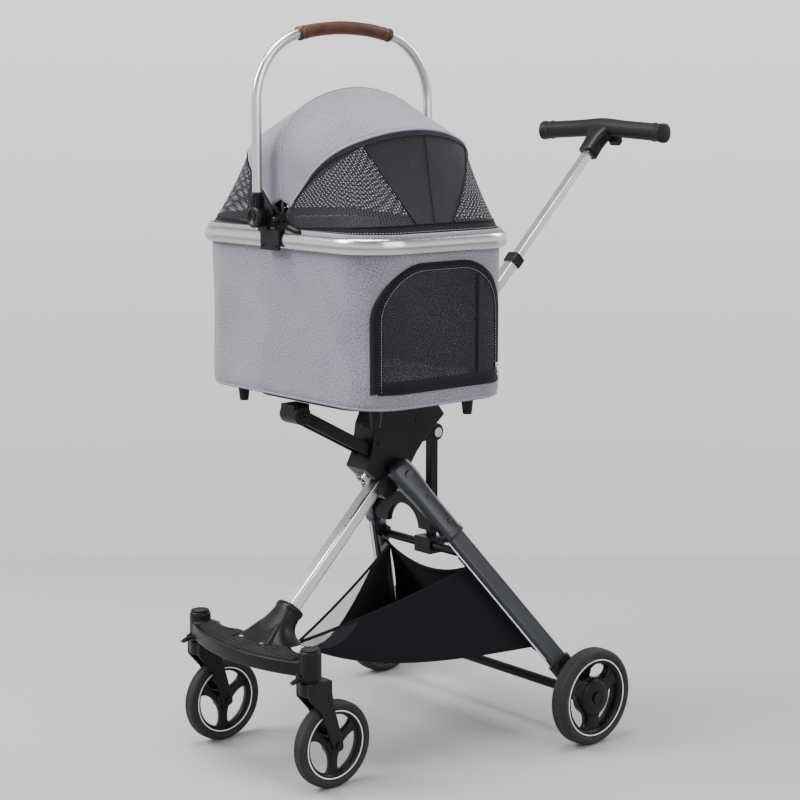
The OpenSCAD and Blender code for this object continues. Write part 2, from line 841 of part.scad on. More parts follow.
// Zip-round mesh door on the end wall
module mesh_door() {
    color([0.09, 0.09, 0.1]) intersection() {
        translate([0, car_y, door_low]) linear_extrude(door_high - door_low) difference() {
            car_outline(skin_gap + 2.2);
            car_outline(skin_gap);
        }
        side_slab(150, 300) door_arch(0);
    }
}

// Brackets on the rim that carry the bow and the canopy hoops
module bow_brackets() {
    color([0.07, 0.07, 0.075]) for (s = [-1, 1]) translate([0, car_y, 0]) difference() {
        union() {
            translate([-26, s > 0 ? rim_b + rim_w / 2 : -rim_b - rim_w / 2 - 4.5, rim_z - 17])
                cube([52, 4.5, 34]);
            translate([-26, s > 0 ? rim_b - 13 : -rim_b - 11, rim_z + 14.2]) cube([52, 24, 4]);
            translate([bow_x, s > 0 ? rim_b + 4 : -rim_b - 11, bow_axis_z]) rotate([-90, 0, 0])
                cylinder(r = 17, h = 7);
            translate([bow_x - 13, s > 0 ? rim_b + 4 : -rim_b - 11, rim_z + 14]) cube([26, 7, 26]);
            translate([hoop_x - 11, s > 0 ? rim_b - 2 : -rim_b - 1.5, rim_z + 14])
                cube([22, 3.5, 26]);
            translate([hoop_x, s > 0 ? rim_b - 2 : -rim_b - 1.5, hoop_axis_z]) rotate([-90, 0, 0])
                cylinder(r = 12, h = 3.5);
        }
        translate([bow_x, -300, bow_axis_z]) rotate([-90, 0, 0])
            cylinder(r = bow_pin_r + run_gap, h = 600);
        translate([hoop_x, -300, hoop_axis_z]) rotate([-90, 0, 0])
            cylinder(r = hoop_pin_r + run_gap, h = 600);
    }
}

// Arch of straight legs, two corner arcs and a flatter crown, centred on Y = 0, axis at z = 0.
// A thin ferrule joins each corner arc to the crown.
module arch_tube(half, leg, corner, turn, r, start) {
    crown = corner + (half - corner) / cos(turn);
    drop = (crown - corner) * sin(turn);
    corner_trim = ferrule_gap / corner * 57.3;
    crown_trim = ferrule_gap / crown * 57.3;
    for (s = [-1, 1]) {
        translate([0, s * half, start]) cylinder(r = r, h = leg - start);
        translate([0, s * (half - corner), leg]) rotate([90, 0, s > 0 ? 90 : -90])
            rotate_extrude(angle = turn - corner_trim, $fn = 96) translate([corner, 0])
                circle(r, $fn = 24);
        translate([0, s * (half - corner + corner * cos(turn)), leg + corner * sin(turn)])
            rotate([s * turn, 0, 0])
                cylinder(r = r + ferrule_t, h = 8, center = true);
    }
    translate([0, 0, leg - drop]) rotate([90, 0, 90]) rotate([0, 0, turn + crown_trim])
        rotate_extrude(angle = 180 - 2 * (turn + crown_trim), $fn = 160) translate([crown, 0])
            circle(r, $fn = 24);
}

bow_turn = acos((bow_half - bow_corner) / (bow_top_r - bow_corner));

module bow_handle() {
    translate([bow_x, car_y, 0]) {
        color([0.86, 0.87, 0.88])
            arch_tube(bow_half, bow_leg_z, bow_corner, bow_turn, bow_r, bow_axis_z + 22);
        color([0.07, 0.07, 0.075]) for (s = [-1, 1]) translate([0, s * bow_half, 0]) {
            translate([0, 0, bow_axis_z + 4]) cylinder(r = bow_r + 0.7, h = 38);
            translate([0, -bow_r - 0.7, bow_axis_z]) rotate([-90, 0, 0])
                cylinder(r = 16.5, h = 2 * bow_r + 1.4);
            translate([0, s > 0 ? -bow_r - 9 : 0, bow_axis_z]) rotate([-90, 0, 0])
                cylinder(r = bow_pin_r, h = bow_r + 9);
        }
    }
}

// Leather wrap round the bow's crown
module bow_grip() {
    crown = bow_top_r;
    drop = (crown - bow_corner) * sin(bow_turn);
    sweep = 27;
    color([0.45, 0.25, 0.14]) translate([bow_x, car_y, bow_leg_z - drop]) rotate([90, 0, 90])
        rotate([0, 0, 90 - sweep / 2]) rotate_extrude(angle = sweep, $fn = 160)
            translate([crown, 0]) difference() {
                circle(bow_r + 3, $fn = 32);
                circle(bow_r + ferrule_t + 0.1, $fn = 32);
            }
}

// One canopy hoop; its flat eyes turn on the pins in the brackets, each pair in its own layer
module canopy_hoop(tilt, layer) {
    color([0.1, 0.1, 0.1]) translate([hoop_x, car_y, hoop_axis_z]) rotate([0, tilt, 0]) {
        arch_tube(hoop_half, hoop_leg, hoop_corner, hoop_turn, hoop_rod, eye_link - 2);
        for (s = [-1, 1]) translate([0, s > 0 ? layer : -layer - eye_t, 0]) difference() {
            union() {
                rotate([-90, 0, 0]) cylinder(r = 8, h = eye_t);
                translate([-3.5, 0, 0]) cube([7, eye_t, eye_link]);
            }
            translate([0, -1, 0]) rotate([-90, 0, 0]) cylinder(r = hoop_pin_r + run_gap, h = eye_t + 2);
        }
    }
}

module rear_hoop() {
    canopy_hoop(rear_tilt, hoop_half + 2.3);
    color([0.6, 0.6, 0.62]) translate([hoop_x, car_y, hoop_axis_z]) for (s = [-1, 1])
        translate([0, s > 0 ? 160 : -rim_b - 4, 0]) rotate([-90, 0, 0])
            cylinder(r = hoop_pin_r, h = rim_b + 4 - 160);
}

module mid_hoop() {
    canopy_hoop(0, hoop_half + 0.4);
}

module front_hoop() {
    canopy_hoop(front_tilt, hoop_half - 1.5);
}

// Filled arch in the plane across the hoop axis, grown outwards by g
module arch_face(g) {
    crown = hoop_corner + (hoop_half - hoop_corner) / cos(hoop_turn);
    drop = (crown - hoop_corner) * sin(hoop_turn);
    intersection() {
        union() {
            for (s = [-1, 1]) translate([s * (hoop_half - hoop_corner), hoop_leg])
                circle(hoop_corner + g, $fn = 96);
            intersection() {
                translate([0, hoop_leg - drop]) circle(crown + g, $fn = 160);
                translate([-(hoop_half - hoop_corner) - 40, hoop_leg])
                    square([2 * (hoop_half - hoop_corner) + 80, 300]);
            }
            translate([-hoop_half - g, 0]) square([2 * (hoop_half + g), hoop_leg]);
            translate([-(hoop_half - hoop_corner), 0])
                square([2 * (hoop_half - hoop_corner), hoop_leg + 60]);
        }
        translate([-300, 0]) square([600, 400]);
    }
}

// Grey cloth between the rear hoop and the front hoop, swept about the hoops' axis
module canopy_hood() {
    color([0.62, 0.61, 0.65]) translate([hoop_x, car_y, hoop_axis_z]) rotate([-90, 0, 0])
        rotate([0, 0, rear_tilt - 90])
            rotate_extrude(angle = front_tilt - rear_tilt, $fn = 96) rotate(-90) difference() {
                arch_face(hoop_rod + 1.8);
                arch_face(hoop_rod + 0.5);
                translate([-300, -1]) square([600, hood_low]);
            }
}

// Solid that fills one end of the canopy, from a hoop's plane down to the carrier's mouth
module canopy_end(tilt, grow, cut, sink) {
    side = sign(tilt);
    hull() {
        translate([hoop_x, car_y, hoop_axis_z]) rotate([0, tilt, 0]) rotate([90, 0, 90])
            linear_extrude(0.5) intersection() {
                arch_face(hoop_rod + grow);
                translate([-300, hood_low - sink]) square([600, 400]);
            }
        translate([0, car_y, rim_z + rim_h / 2 + 1 - sink]) linear_extrude(0.5) intersection() {
            car_outline(-cut);
            translate([side > 0 ? 48 : -300, -300]) square([252, 600]);
        }
    }
}

module canopy_meshes() {
    color([0.07, 0.07, 0.08]) for (side = [-1, 1]) {
        tilt = side > 0 ? front_tilt : rear_tilt;
        difference() {
            canopy_end(tilt + side * 1.5, 1.8, 1, 0);
            canopy_end(tilt + side * 0.4, 0.5, 3, 2);
        }
    }
}

hub_casting();
front_pole();
front_plate();
plate_tread();
plate_screws();
caster_stem(1);  // left_caster_stem
caster_stem(-1);  // right_caster_stem
caster_fork(1);  // left_caster_fork
caster_fork(-1);  // right_caster_fork
front_axle(1);  // left_front_axle
front_axle(-1);  // right_front_axle
front_rim(1);  // left_front_rim
front_rim(-1);  // right_front_rim
front_tyre(1);  // left_front_tyre
front_tyre(-1);  // right_front_tyre
swivel_lock(1);  // left_swivel_lock
swivel_lock(-1);  // right_swivel_lock
leg_sleeve(1);  // left_leg_sleeve
leg_sleeve(-1);  // right_leg_sleeve
leg_tube(1);  // left_leg_tube
leg_tube(-1);  // right_leg_tube
axle_bracket(1);  // left_axle_bracket
axle_bracket(-1);  // right_axle_bracket
rear_axle_tube();
rear_axles();
rear_rim(1);  // left_rear_rim
rear_rim(-1);  // right_rear_rim
rear_tyre(1);  // left_rear_tyre
rear_tyre(-1);  // right_rear_tyre
brake_pedal(1);  // left_brake_pedal
brake_pedal(-1);  // right_brake_pedal
cross_brace();
leg_yoke();
latch_lever();
leg_pivot_bolt();
fold_strut();
strut_pin();
seat_arm();
seat_tray();
release_lever();
outer_tube();
tube_collar();
inner_tube();
handle_bar();
handle_trigger();
storage_basket();
carrier_shell();
carrier_board();
carrier_cushion();
carrier_feet();
rim_tube();
mesh_door();
bow_brackets();
bow_handle();
bow_grip();
rear_hoop();
mid_hoop();
front_hoop();
canopy_hood();
canopy_meshes();
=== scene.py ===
"""Looks of a folding pet stroller with a lift-off soft carrier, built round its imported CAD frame.

Metres, origin on the ground under the middle of the object, front -Y, up +Z.
"""

import json
import math

import bmesh
import bpy
from mathutils import Matrix, Vector


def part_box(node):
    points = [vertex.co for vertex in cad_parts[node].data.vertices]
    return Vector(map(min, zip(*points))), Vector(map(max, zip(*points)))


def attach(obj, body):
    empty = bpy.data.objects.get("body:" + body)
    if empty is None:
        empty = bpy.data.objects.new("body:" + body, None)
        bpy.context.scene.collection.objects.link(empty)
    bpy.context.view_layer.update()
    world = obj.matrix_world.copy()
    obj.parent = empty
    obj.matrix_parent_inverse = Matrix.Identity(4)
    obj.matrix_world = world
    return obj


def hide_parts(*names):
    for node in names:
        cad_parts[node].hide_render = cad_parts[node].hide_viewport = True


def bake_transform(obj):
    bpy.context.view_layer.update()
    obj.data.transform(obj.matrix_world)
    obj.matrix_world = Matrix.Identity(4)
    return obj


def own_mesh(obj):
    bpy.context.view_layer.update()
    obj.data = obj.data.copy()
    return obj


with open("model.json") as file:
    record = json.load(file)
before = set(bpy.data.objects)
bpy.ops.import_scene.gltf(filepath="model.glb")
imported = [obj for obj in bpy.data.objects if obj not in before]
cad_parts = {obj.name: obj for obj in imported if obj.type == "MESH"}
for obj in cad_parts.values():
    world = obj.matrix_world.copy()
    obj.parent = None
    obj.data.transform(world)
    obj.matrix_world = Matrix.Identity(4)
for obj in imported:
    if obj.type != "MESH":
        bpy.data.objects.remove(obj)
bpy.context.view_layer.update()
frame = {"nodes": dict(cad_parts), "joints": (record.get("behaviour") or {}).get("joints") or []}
nodes = frame["nodes"]
joints = {j["name"]: j for j in frame["joints"]}

MM = 0.001
SIDES = (("left", 1), ("right", -1))
X, Y, Z = (Vector(way) for way in ((1, 0, 0), (0, 1, 0), (0, 0, 1)))


# ---------- Places read from the frame ----------

def middle(name):
    low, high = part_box(name)
    return (low + high) / 2


shell_low, shell_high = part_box("carrier_shell")
CAR_Y = middle("carrier_shell").y
CAR_A = shell_high.x
CAR_B = (shell_high.y - shell_low.y) / 2
CAR_R = 79 * MM                  # its corners' radius, seen from above
CAR_LOW = shell_low.z
CAR_TOP = shell_high.z
RIM_LOW, RIM_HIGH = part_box("rim_tube")
RIM_Z = middle("rim_tube").z
RIM_THICK = 13 * MM
HOOP = Vector(joints["front_hoop_fold"]["pos_m"])
BOW = Vector(joints["bow_swing"]["pos_m"])
DOOR_LOW, DOOR_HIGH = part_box("mesh_door")
DOOR_Y = middle("mesh_door").y
DOOR_CORNER = 96 * MM
SOCKET_TOP = 254 * MM


# ---------- Node helpers ----------

class Graph:
    """A material's node tree, with short calls for the nodes that its patterns need."""

    def __init__(self, name):
        self.material = bpy.data.materials.new(name)
        self.material.use_nodes = True
        self.tree = self.material.node_tree
        self.shader = self.tree.nodes["Principled BSDF"]
        coords = self.add("ShaderNodeTexCoord")
        self.object = coords.outputs["Object"]
        self.uv = coords.outputs["UV"]

    def add(self, kind, **settings):
        node = self.tree.nodes.new(kind)
        for key, value in settings.items():
            setattr(node, key, value)
        return node

    def link(self, source, target):
        self.tree.links.new(source, target)

    def feed(self, socket, value):
        if isinstance(value, (int, float)):
            socket.default_value = value
        else:
            self.link(value, socket)

    def scaled(self, source, scale, slant=0.0):
        node = self.add("ShaderNodeMapping")
        self.link(source, node.inputs["Vector"])
        node.inputs["Rotation"].default_value = (0, 0, slant)
        node.inputs["Scale"].default_value = scale
        return node.outputs["Vector"]

    def noise(self, source, scale, detail=3.0):
        node = self.add("ShaderNodeTexNoise")
        self.link(source, node.inputs["Vector"])
        node.inputs["Scale"].default_value = scale
        node.inputs["Detail"].default_value = detail
        return node.outputs["Fac"]

    def cells(self, source, scale):
        node = self.add("ShaderNodeTexVoronoi")
        self.link(source, node.inputs["Vector"])
        node.inputs["Scale"].default_value = scale
        return node.outputs["Distance"]

    def math(self, operation, a, b=0.0):
        node = self.add("ShaderNodeMath", operation=operation)
        self.feed(node.inputs[0], a)
        self.feed(node.inputs[1], b)
        return node.outputs["Value"]

    def mix(self, a, part_a, b, part_b):
        """a times part_a plus b times part_b."""
        return self.math("ADD", self.math("MULTIPLY", a, part_a),
                         self.math("MULTIPLY", b, part_b))

    def wave(self, source):
        """How far the sine of source is from zero."""
        return self.math("ABSOLUTE", self.math("SINE", source))

    def split(self, source):
        node = self.add("ShaderNodeSeparateXYZ")
        self.link(source, node.inputs[0])
        return node.outputs

    def tone(self, source, *stops):
        """Base colour from source, through a ramp of (place, colour) stops."""
        node = self.add("ShaderNodeValToRGB")
        self.link(source, node.inputs["Fac"])
        for point, (place, colour) in zip(node.color_ramp.elements, stops):
            point.position = place
            point.color = (*colour, 1.0)
        self.link(node.outputs["Color"], self.shader.inputs["Base Color"])

    def shine(self, source, low, high):
        """Roughness from source: 0 to 1 is carried to low to high."""
        node = self.add("ShaderNodeMapRange")
        self.link(source, node.inputs["Value"])
        node.inputs["To Min"].default_value = low
        node.inputs["To Max"].default_value = high
        self.link(node.outputs["Result"], self.shader.inputs["Roughness"])

    def bump(self, height, depth, strength=1.0):
        node = self.add("ShaderNodeBump")
        node.inputs["Distance"].default_value = depth
        node.inputs["Strength"].default_value = strength
        self.link(height, node.inputs["Height"])
        self.link(node.outputs["Normal"], self.shader.inputs["Normal"])

    def set(self, **values):
        for name, value in values.items():
            self.shader.inputs[name.replace("_", " ")].default_value = value
        return self.material


def threads(g, source, pitch):
    """Over-and-under weave of two thread directions, 0 to 1, from coordinates in metres."""
    x, y, _ = g.split(g.scaled(source, (math.pi / pitch,) * 3))
    checker = g.math("MULTIPLY", g.math("SINE", x), g.math("SINE", y))
    return g.mix(g.math("ADD", g.wave(x), g.wave(y)), 0.4, checker, 0.2)


def heather(name, light, dark, thin=0.0):
    """Woven polyester of mixed light and dark yarn; thin cloth lets some light through."""
    g = Graph(name)
    slubs = g.noise(g.scaled(g.uv, (880, 340, 1)), 1.0, 2.0)
    upright = g.noise(g.scaled(g.uv, (280, 800, 1)), 1.0, 2.0)
    yarn = g.mix(slubs, 0.5, upright, 0.5)
    mixed = g.mix(yarn, 0.88, g.noise(g.object, 9.0, 2.0), 0.12)
    g.tone(mixed, (0.40, dark), (0.60, light))
    g.shine(yarn, 0.82, 0.97)
    g.bump(g.mix(threads(g, g.uv, 0.0011), 1.0, yarn, 0.8), 0.00035, 0.8)
    return g.set(Sheen_Weight=0.25, Sheen_Roughness=0.5, Specular_IOR_Level=0.2,
                 Transmission_Weight=thin)


def cloth(name, dark, light, pitch=0.0012):
    """Plain cloth, webbing or thread."""
    g = Graph(name)
    weave = threads(g, g.uv, pitch)
    wear = g.noise(g.object, 25.0, 4.0)
    g.tone(g.mix(weave, 0.6, wear, 0.4), (0.2, dark), (0.8, light))
    g.shine(wear, 0.75, 0.95)
    g.bump(weave, 0.0003, 0.7)
    return g.set(Sheen_Weight=0.04, Specular_IOR_Level=0.18)


def net(name, pitch, hole, dark, light, slant):
    """Knitted net: round holes on a staggered grid in UV metres, with yarn between them."""
    g = Graph(name)
    u, v, _ = g.split(g.scaled(g.uv, (1 / pitch, 1 / pitch, 1), slant))
    row = g.math("FLOOR", v)
    shifted = g.mix(u, 1.0, g.math("MODULO", row, 2.0), 0.5)
    du = g.math("SUBTRACT", g.math("FRACT", shifted), 0.5)
    dv = g.math("SUBTRACT", g.math("FRACT", v), 0.5)
    far = g.math("SQRT", g.math("ADD", g.math("MULTIPLY", du, du), g.math("MULTIPLY", dv, dv)))
    g.link(g.math("GREATER_THAN", far, hole), g.shader.inputs["Alpha"])
    g.tone(far, (0.25, dark), (0.65, light))
    g.shine(g.noise(g.object, 60.0), 0.65, 0.9)
    g.bump(far, 0.0005, 0.8)
    return g.set(Specular_IOR_Level=0.2)


def ribbed_cloth(name, pitch, dark, light):
    """Knitted panel with fine slanting ribs."""
    g = Graph(name)
    x, y, _ = g.split(g.scaled(g.uv, (math.pi / pitch,) * 3))
    rib = g.wave(g.mix(x, 1.0, y, 0.6))
    dash = g.wave(g.math("MULTIPLY", y, 1.7))
    both = g.mix(rib, 0.7, dash, 0.3)
    g.tone(both, (0.15, dark), (0.95, light))
    g.shine(g.noise(g.object, 40.0), 0.7, 0.92)
    g.bump(both, 0.0006, 0.9)
    return g.set(Specular_IOR_Level=0.2, Sheen_Weight=0.03)


def grained(name, stops, rough, grain, patch, relief, **values):
    """Fine grain in relief, with patches that vary tone and shine."""
    g = Graph(name)
    patches = g.noise(g.object, *patch)
    g.tone(patches, *stops)
    g.shine(patches, *rough)
    g.bump(g.noise(g.object, grain, 2.0), *relief)
    return g.set(**values)


def moulded(name, dark, light, rough, grain=900.0):
    """Moulded plastic: fine spark grain, a few soft scuffs and shine that varies."""
    return grained(name, ((0.3, dark), (0.75, light)), rough, grain, (14.0, 4.0),
                   (0.00012, 0.6), Specular_IOR_Level=0.20)


def metal(name, colour, rough, stretch, brushed=0.00005):
    """Brushed or anodised metal; its tone and shine vary, and brushed is its relief in metres."""
    g = Graph(name)
    lines = g.noise(g.scaled(g.object, (stretch,) * 3), 1.0, 3.0)
    g.tone(lines, (0.3, tuple(c * 0.96 for c in colour)), (0.7, colour))
    g.shine(g.mix(lines, 0.6, g.noise(g.object, 8.0, 3.0), 0.4), *rough)
    if brushed:
        g.bump(lines, brushed, 0.5)
    return g.set(Metallic=1.0)


def painted(name, dark, light):
    """Powder-coated tube: slight orange peel and a satin shine."""
    return grained(name, ((0.3, dark), (0.7, light)), (0.26, 0.40), 420.0, (11.0, 3.0),
                   (0.00008, 0.5), Metallic=0.15, Coat_Weight=0.2, Coat_Roughness=0.22)


def hide(name, dark, light):
    """Smooth tan leather with pores and a slightly burnished surface."""
    g = Graph(name)
    creases = g.noise(g.scaled(g.object, (90, 40, 90)), 1.0, 5.0)
    g.tone(creases, (0.3, dark), (0.7, light))
    g.shine(creases, 0.38, 0.58)
    g.bump(g.mix(g.cells(g.object, 1300.0), 0.6, creases, 1.0), 0.0003, 0.6)
    return g.set(Specular_IOR_Level=0.28, Coat_Weight=0.03)


def tread_rubber(name, dark, light):
    """Matt tyre rubber, dusty in places."""
    return grained(name, ((0.35, dark), (0.85, light)), (0.55, 0.8), 1200.0, (30.0, 5.0),
                   (0.00015, 0.6), Specular_IOR_Level=0.35)


GREY_CLOTH = heather("grey_heather", (0.330, 0.320, 0.378), (0.086, 0.083, 0.103))
PIPING = cloth("lilac_piping", (0.22, 0.215, 0.30), (0.36, 0.355, 0.47), 0.0009)
HOOD_CLOTH = heather("hood_heather", (0.360, 0.350, 0.412), (0.098, 0.094, 0.116), 0.25)
CUSHION_CLOTH = heather("cushion_plush", (0.50, 0.49, 0.54), (0.26, 0.255, 0.30))
BLACK_CLOTH = cloth("black_cloth", (0.003, 0.003, 0.0045), (0.010, 0.010, 0.014))
WEBBING = cloth("black_webbing", (0.003, 0.003, 0.004), (0.014, 0.014, 0.018), 0.0022)
WINDOW_NET = net("window_net", 0.0042, 0.275, (0.008, 0.008, 0.010), (0.050, 0.050, 0.062), 0.75)
DOOR_NET = net("door_net", 0.0040, 0.29, (0.006, 0.006, 0.009), (0.040, 0.040, 0.052), 0.6)
BASKET_NET = net("basket_net", 0.0036, 0.45, (0.02, 0.02, 0.025), (0.09, 0.09, 0.10), 0.5)
RIB_CLOTH = ribbed_cloth("ribbed_panel", 0.0044, (0.0015, 0.0015, 0.0025), (0.026, 0.025, 0.034))
PLASTIC = moulded("black_plastic", (0.003, 0.003, 0.004), (0.008, 0.008, 0.0095), (0.28, 0.46))
SOFT_PLASTIC = moulded("soft_touch_plastic", (0.003, 0.003, 0.0035), (0.007, 0.007, 0.008),
                       (0.38, 0.58), 1400.0)
ALUMINIUM = metal("satin_aluminium", (0.60, 0.61, 0.62), (0.21, 0.26), 30, 0.0)
RIM_METAL = metal("rim_aluminium", (0.58, 0.58, 0.585), (0.18, 0.24), 30, 0.0)
POLE_METAL = metal("pole_aluminium", (0.74, 0.75, 0.76), (0.22, 0.28), 40, 0.0)
CHROME = metal("bright_steel", (0.78, 0.78, 0.80), (0.12, 0.24), 300)
DARK_STEEL = metal("dark_wire", (0.12, 0.12, 0.13), (0.35, 0.5), 300)
SLATE = painted("slate_paint", (0.007, 0.0075, 0.014), (0.015, 0.016, 0.027))
LEATHER = hide("tan_leather", (0.032, 0.0090, 0.0030), (0.088, 0.028, 0.0105))
STITCH = cloth("pale_thread", (0.13, 0.075, 0.045), (0.24, 0.15, 0.09), 0.0006)
GREY_STITCH = cloth("grey_thread", (0.30, 0.30, 0.34), (0.50, 0.50, 0.55), 0.0006)
RUBBER = tread_rubber("tyre_rubber", (0.009, 0.009, 0.010), (0.024, 0.024, 0.026))
WHITE_RING = moulded("white_ring", (0.70, 0.70, 0.69), (0.86, 0.86, 0.85), (0.4, 0.55))
TREAD = tread_rubber("deck_rubber", (0.010, 0.010, 0.011), (0.030, 0.030, 0.033))
BOARD = moulded("floor_board", (0.02, 0.02, 0.02), (0.04, 0.04, 0.04), (0.6, 0.8))


# ---------- Mesh helpers ----------

def piece(name, mesh, material, body=None, cad=()):
    """An object from a bmesh, with its material and slot, and with its body and the CAD nodes
    that it stands for, if given."""
    data = bpy.data.meshes.new(name)
    bmesh.ops.recalc_face_normals(mesh, faces=mesh.faces)
    mesh.to_mesh(data)
    mesh.free()
    data.materials.append(material)
    shade_smooth(data)
    made = bpy.data.objects.new(name, data)
    bpy.context.scene.collection.objects.link(made)
    if cad:
        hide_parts(*cad)
    if body:
        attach(made, body)
    return made


def shade_smooth(data):
    for polygon in data.polygons:
        polygon.use_smooth = True


def run_of(line, closed=False):
    """Distance along a line of points up to each of them."""
    run = [0.0]
    for p, q in zip(line, line[1:] + (line[:1] if closed else [])):
        run.append(run[-1] + (Vector(q) - Vector(p)).length)
    return run


def grid(rows, closed_u=False, closed_v=False, cap=False, mesh=None):
    """Quads between rows of points, with UVs in metres along and across the rows."""
    mesh = mesh or bmesh.new()
    uv = mesh.loops.layers.uv.verify()
    made = [[mesh.verts.new(p) for p in row] for row in rows]
    across = [0.0]
    for a, b in zip(rows, rows[1:] + rows[:1]):
        gaps = sorted((Vector(p) - Vector(q)).length for p, q in zip(a, b))
        across.append(across[-1] + gaps[len(gaps) // 2])
    along = run_of(max(rows, key=lambda row: run_of(row)[-1]), closed=True)
    count_v = len(rows) if closed_v else len(rows) - 1
    count_u = len(rows[0]) if closed_u else len(rows[0]) - 1
    for i in range(count_v):
        for j in range(count_u):
            near, far = made[i], made[(i + 1) % len(rows)]
            k = (j + 1) % len(rows[0])
            corners = [near[j], near[k], far[k], far[j]]
            if len(set(corners)) < 4:
                continue
            face = mesh.faces.new(corners)
            places = ((j, i), (j + 1, i), (j + 1, i + 1), (j, i + 1))
            for loop, (m, n) in zip(face.loops, places):
                loop[uv].uv = (along[m], across[n])
    if cap:
        for row in (made[0], made[-1]):
            mesh.faces.new(row)
    return mesh


def between(points, place):
    """Point at a place from 0 to 1 along a list of evenly spaced ones."""
    at = place * (len(points) - 1)
    k = min(int(at), len(points) - 2)
    a, b = points[k], points[k + 1]
    return tuple(p + (q - p) * (at - k) for p, q in zip(a, b))


def trace(x, y, heading, runs, count):
    """Evenly spaced (x, y, heading) points, from 0 to count, along straight runs and arcs.

    A run is (length, 0), or (radius, turn) with the turn in radians, to the left if positive.
    """
    total = sum(size * (abs(turn) or 1) for size, turn in runs)
    points = []
    for k in range(count + 1):
        rest = k / count * total
        u, v, way = x, y, heading
        for size, turn in runs:
            step = min(rest, size * (abs(turn) or 1))
            rest -= step
            if turn:
                radius = math.copysign(size, turn)
                ahead = way + step / radius
                u += radius * (math.sin(ahead) - math.sin(way))
                v -= radius * (math.cos(ahead) - math.cos(way))
                way = ahead
            else:
                u += step * math.cos(way)
                v += step * math.sin(way)
        points.append((u, v, way))
    return points


def oval(centre, across, up, wide, tall, power, count=32, ripple=None):
    """Squared oval ring round centre, with half sizes wide and tall along across and up."""
    ring = []
    for k in range(count):
        a = math.tau * k / count
        c, s = math.cos(a), math.sin(a)
        more = ripple(a) if ripple else 0.0
        ring.append(centre + across * (wide + more) * math.copysign(abs(c) ** power, c)
                    + up * (tall + more) * math.copysign(abs(s) ** power, s))
    return ring


def sweep(path, radius, sides=12, squash=1.0, closed=False, mesh=None, lumps=None):
    """Round or oval tube along points, with a steady frame; lumps(share, angle) scales it."""
    path = [Vector(p) for p in path]
    count = len(path)
    rows = []
    normal = None
    for i, p in enumerate(path):
        ahead = path[(i + 1) % count] if closed or i + 1 < count else p
        behind = path[i - 1] if closed or i else p
        tangent = (ahead - behind).normalized()
        if normal is None:
            normal = tangent.orthogonal().normalized()
            if abs(tangent.z) < 0.9:
                normal = tangent.cross(Vector((0, 0, 1))).normalized()
        normal = (normal - normal.dot(tangent) * tangent).normalized()
        other = tangent.cross(normal)
        ring = []
        for k in range(sides):
            a = math.tau * k / sides
            scale = lumps(i / max(count - 1, 1), a) if lumps else 1.0
            ring.append(p + radius * scale * (math.cos(a) * normal * squash
                                              + math.sin(a) * other))
        rows.append(ring)
    return grid(rows, closed_u=True, closed_v=closed, cap=not closed, mesh=mesh)


def lathe(profile, centre, axis, steps=64, mesh=None, closed=True):
    """Profile of (along axis, radius) points turned about an axis through centre."""
    turn = Z.rotation_difference(Vector(axis).normalized()).to_matrix()
    rows = []
    for k in range(steps):
        a = math.tau * k / steps
        rows.append([Vector(centre) + turn @ Vector((r * math.cos(a), r * math.sin(a), h))
                     for h, r in profile])
    return grid(rows, closed_u=closed, closed_v=True, mesh=mesh)


def round_box(centre, size, radius, mesh=None, turn=None, segments=3):
    """Box with bevelled edges, turned by a matrix if given."""
    mesh = mesh or bmesh.new()
    made = bmesh.ops.create_cube(mesh, size=1.0)["verts"]
    bmesh.ops.scale(mesh, vec=size, verts=made)
    edges = list({e for v in made for e in v.link_edges})
    bevelled = bmesh.ops.bevel(mesh, geom=edges, offset=radius, segments=segments,
                               profile=0.5, affect="EDGES")
    whole = list({v for f in bevelled["faces"] for v in f.verts})
    if turn is not None:
        bmesh.ops.transform(mesh, matrix=turn, verts=whole)
    bmesh.ops.translate(mesh, vec=centre, verts=whole)
    return mesh


def screw_head(mesh, centre, axis, radius=4 * MM, height=1.8 * MM):
    """Domed screw head with a socket sunk in it."""
    socket = radius * 0.45
    profile = [(0, radius), (height * 0.6, radius), (height * 0.9, radius * 0.82),
               (height, socket), (height * 0.35, socket * 0.96), (height * 0.3, 0.01 * MM)]
    lathe(profile, centre, axis, 24, mesh, closed=False)


def modify(made, kind, name, **settings):
    modifier = made.modifiers.new(name, kind)
    for key, value in settings.items():
        setattr(modifier, key, value)
    return modifier


def declare(rows):
    """Turns a cloth's rows into vectors; nothing more is done with them."""
    rows = [[Vector(p) for p in row] for row in rows]


def apply_modifiers(made):
    """The shown mesh becomes the mesh, smooth-shaded, and the modifiers go."""
    graph = bpy.context.evaluated_depsgraph_get()
    fresh = bpy.data.meshes.new_from_object(made.evaluated_get(graph))
    made.modifiers.clear()
    made.data = fresh
    shade_smooth(fresh)


def outline(grow, count):
    """Points (x, y, nx, ny) round the carrier, evenly spaced, from the middle of the +X end."""
    radius = CAR_R + grow
    flat_x, flat_y = CAR_A - CAR_R, CAR_B - CAR_R
    corner = (radius, math.pi / 2)
    runs = [(flat_y, 0), corner, (2 * flat_x, 0), corner, (2 * flat_y, 0), corner,
            (2 * flat_x, 0), corner, (flat_y, 0)]
    line = trace(CAR_A + grow, CAR_Y, math.pi / 2, runs, count)[:-1]
    return [(x, y, math.sin(way), -math.cos(way)) for x, y, way in line]


# ---------- CAD nodes that stay ----------

def dress(names, material, bevel=0.0, segments=2):
    """Gives CAD nodes their material and, where a moulding's edges are soft, a bevel."""
    for name in names:
        shown = nodes[name]
        if not shown.material_slots:
            shown.data.materials.append(material)
        for place in shown.material_slots:
            place.link = "OBJECT"
            place.material = material
        if bevel:
            modify(shown, "WELD", "weld", merge_threshold=0.00002)
            modify(shown, "BEVEL", "soft_edges", width=bevel, segments=segments,
                   limit_method="ANGLE", angle_limit=math.radians(40),
                   harden_normals=True)


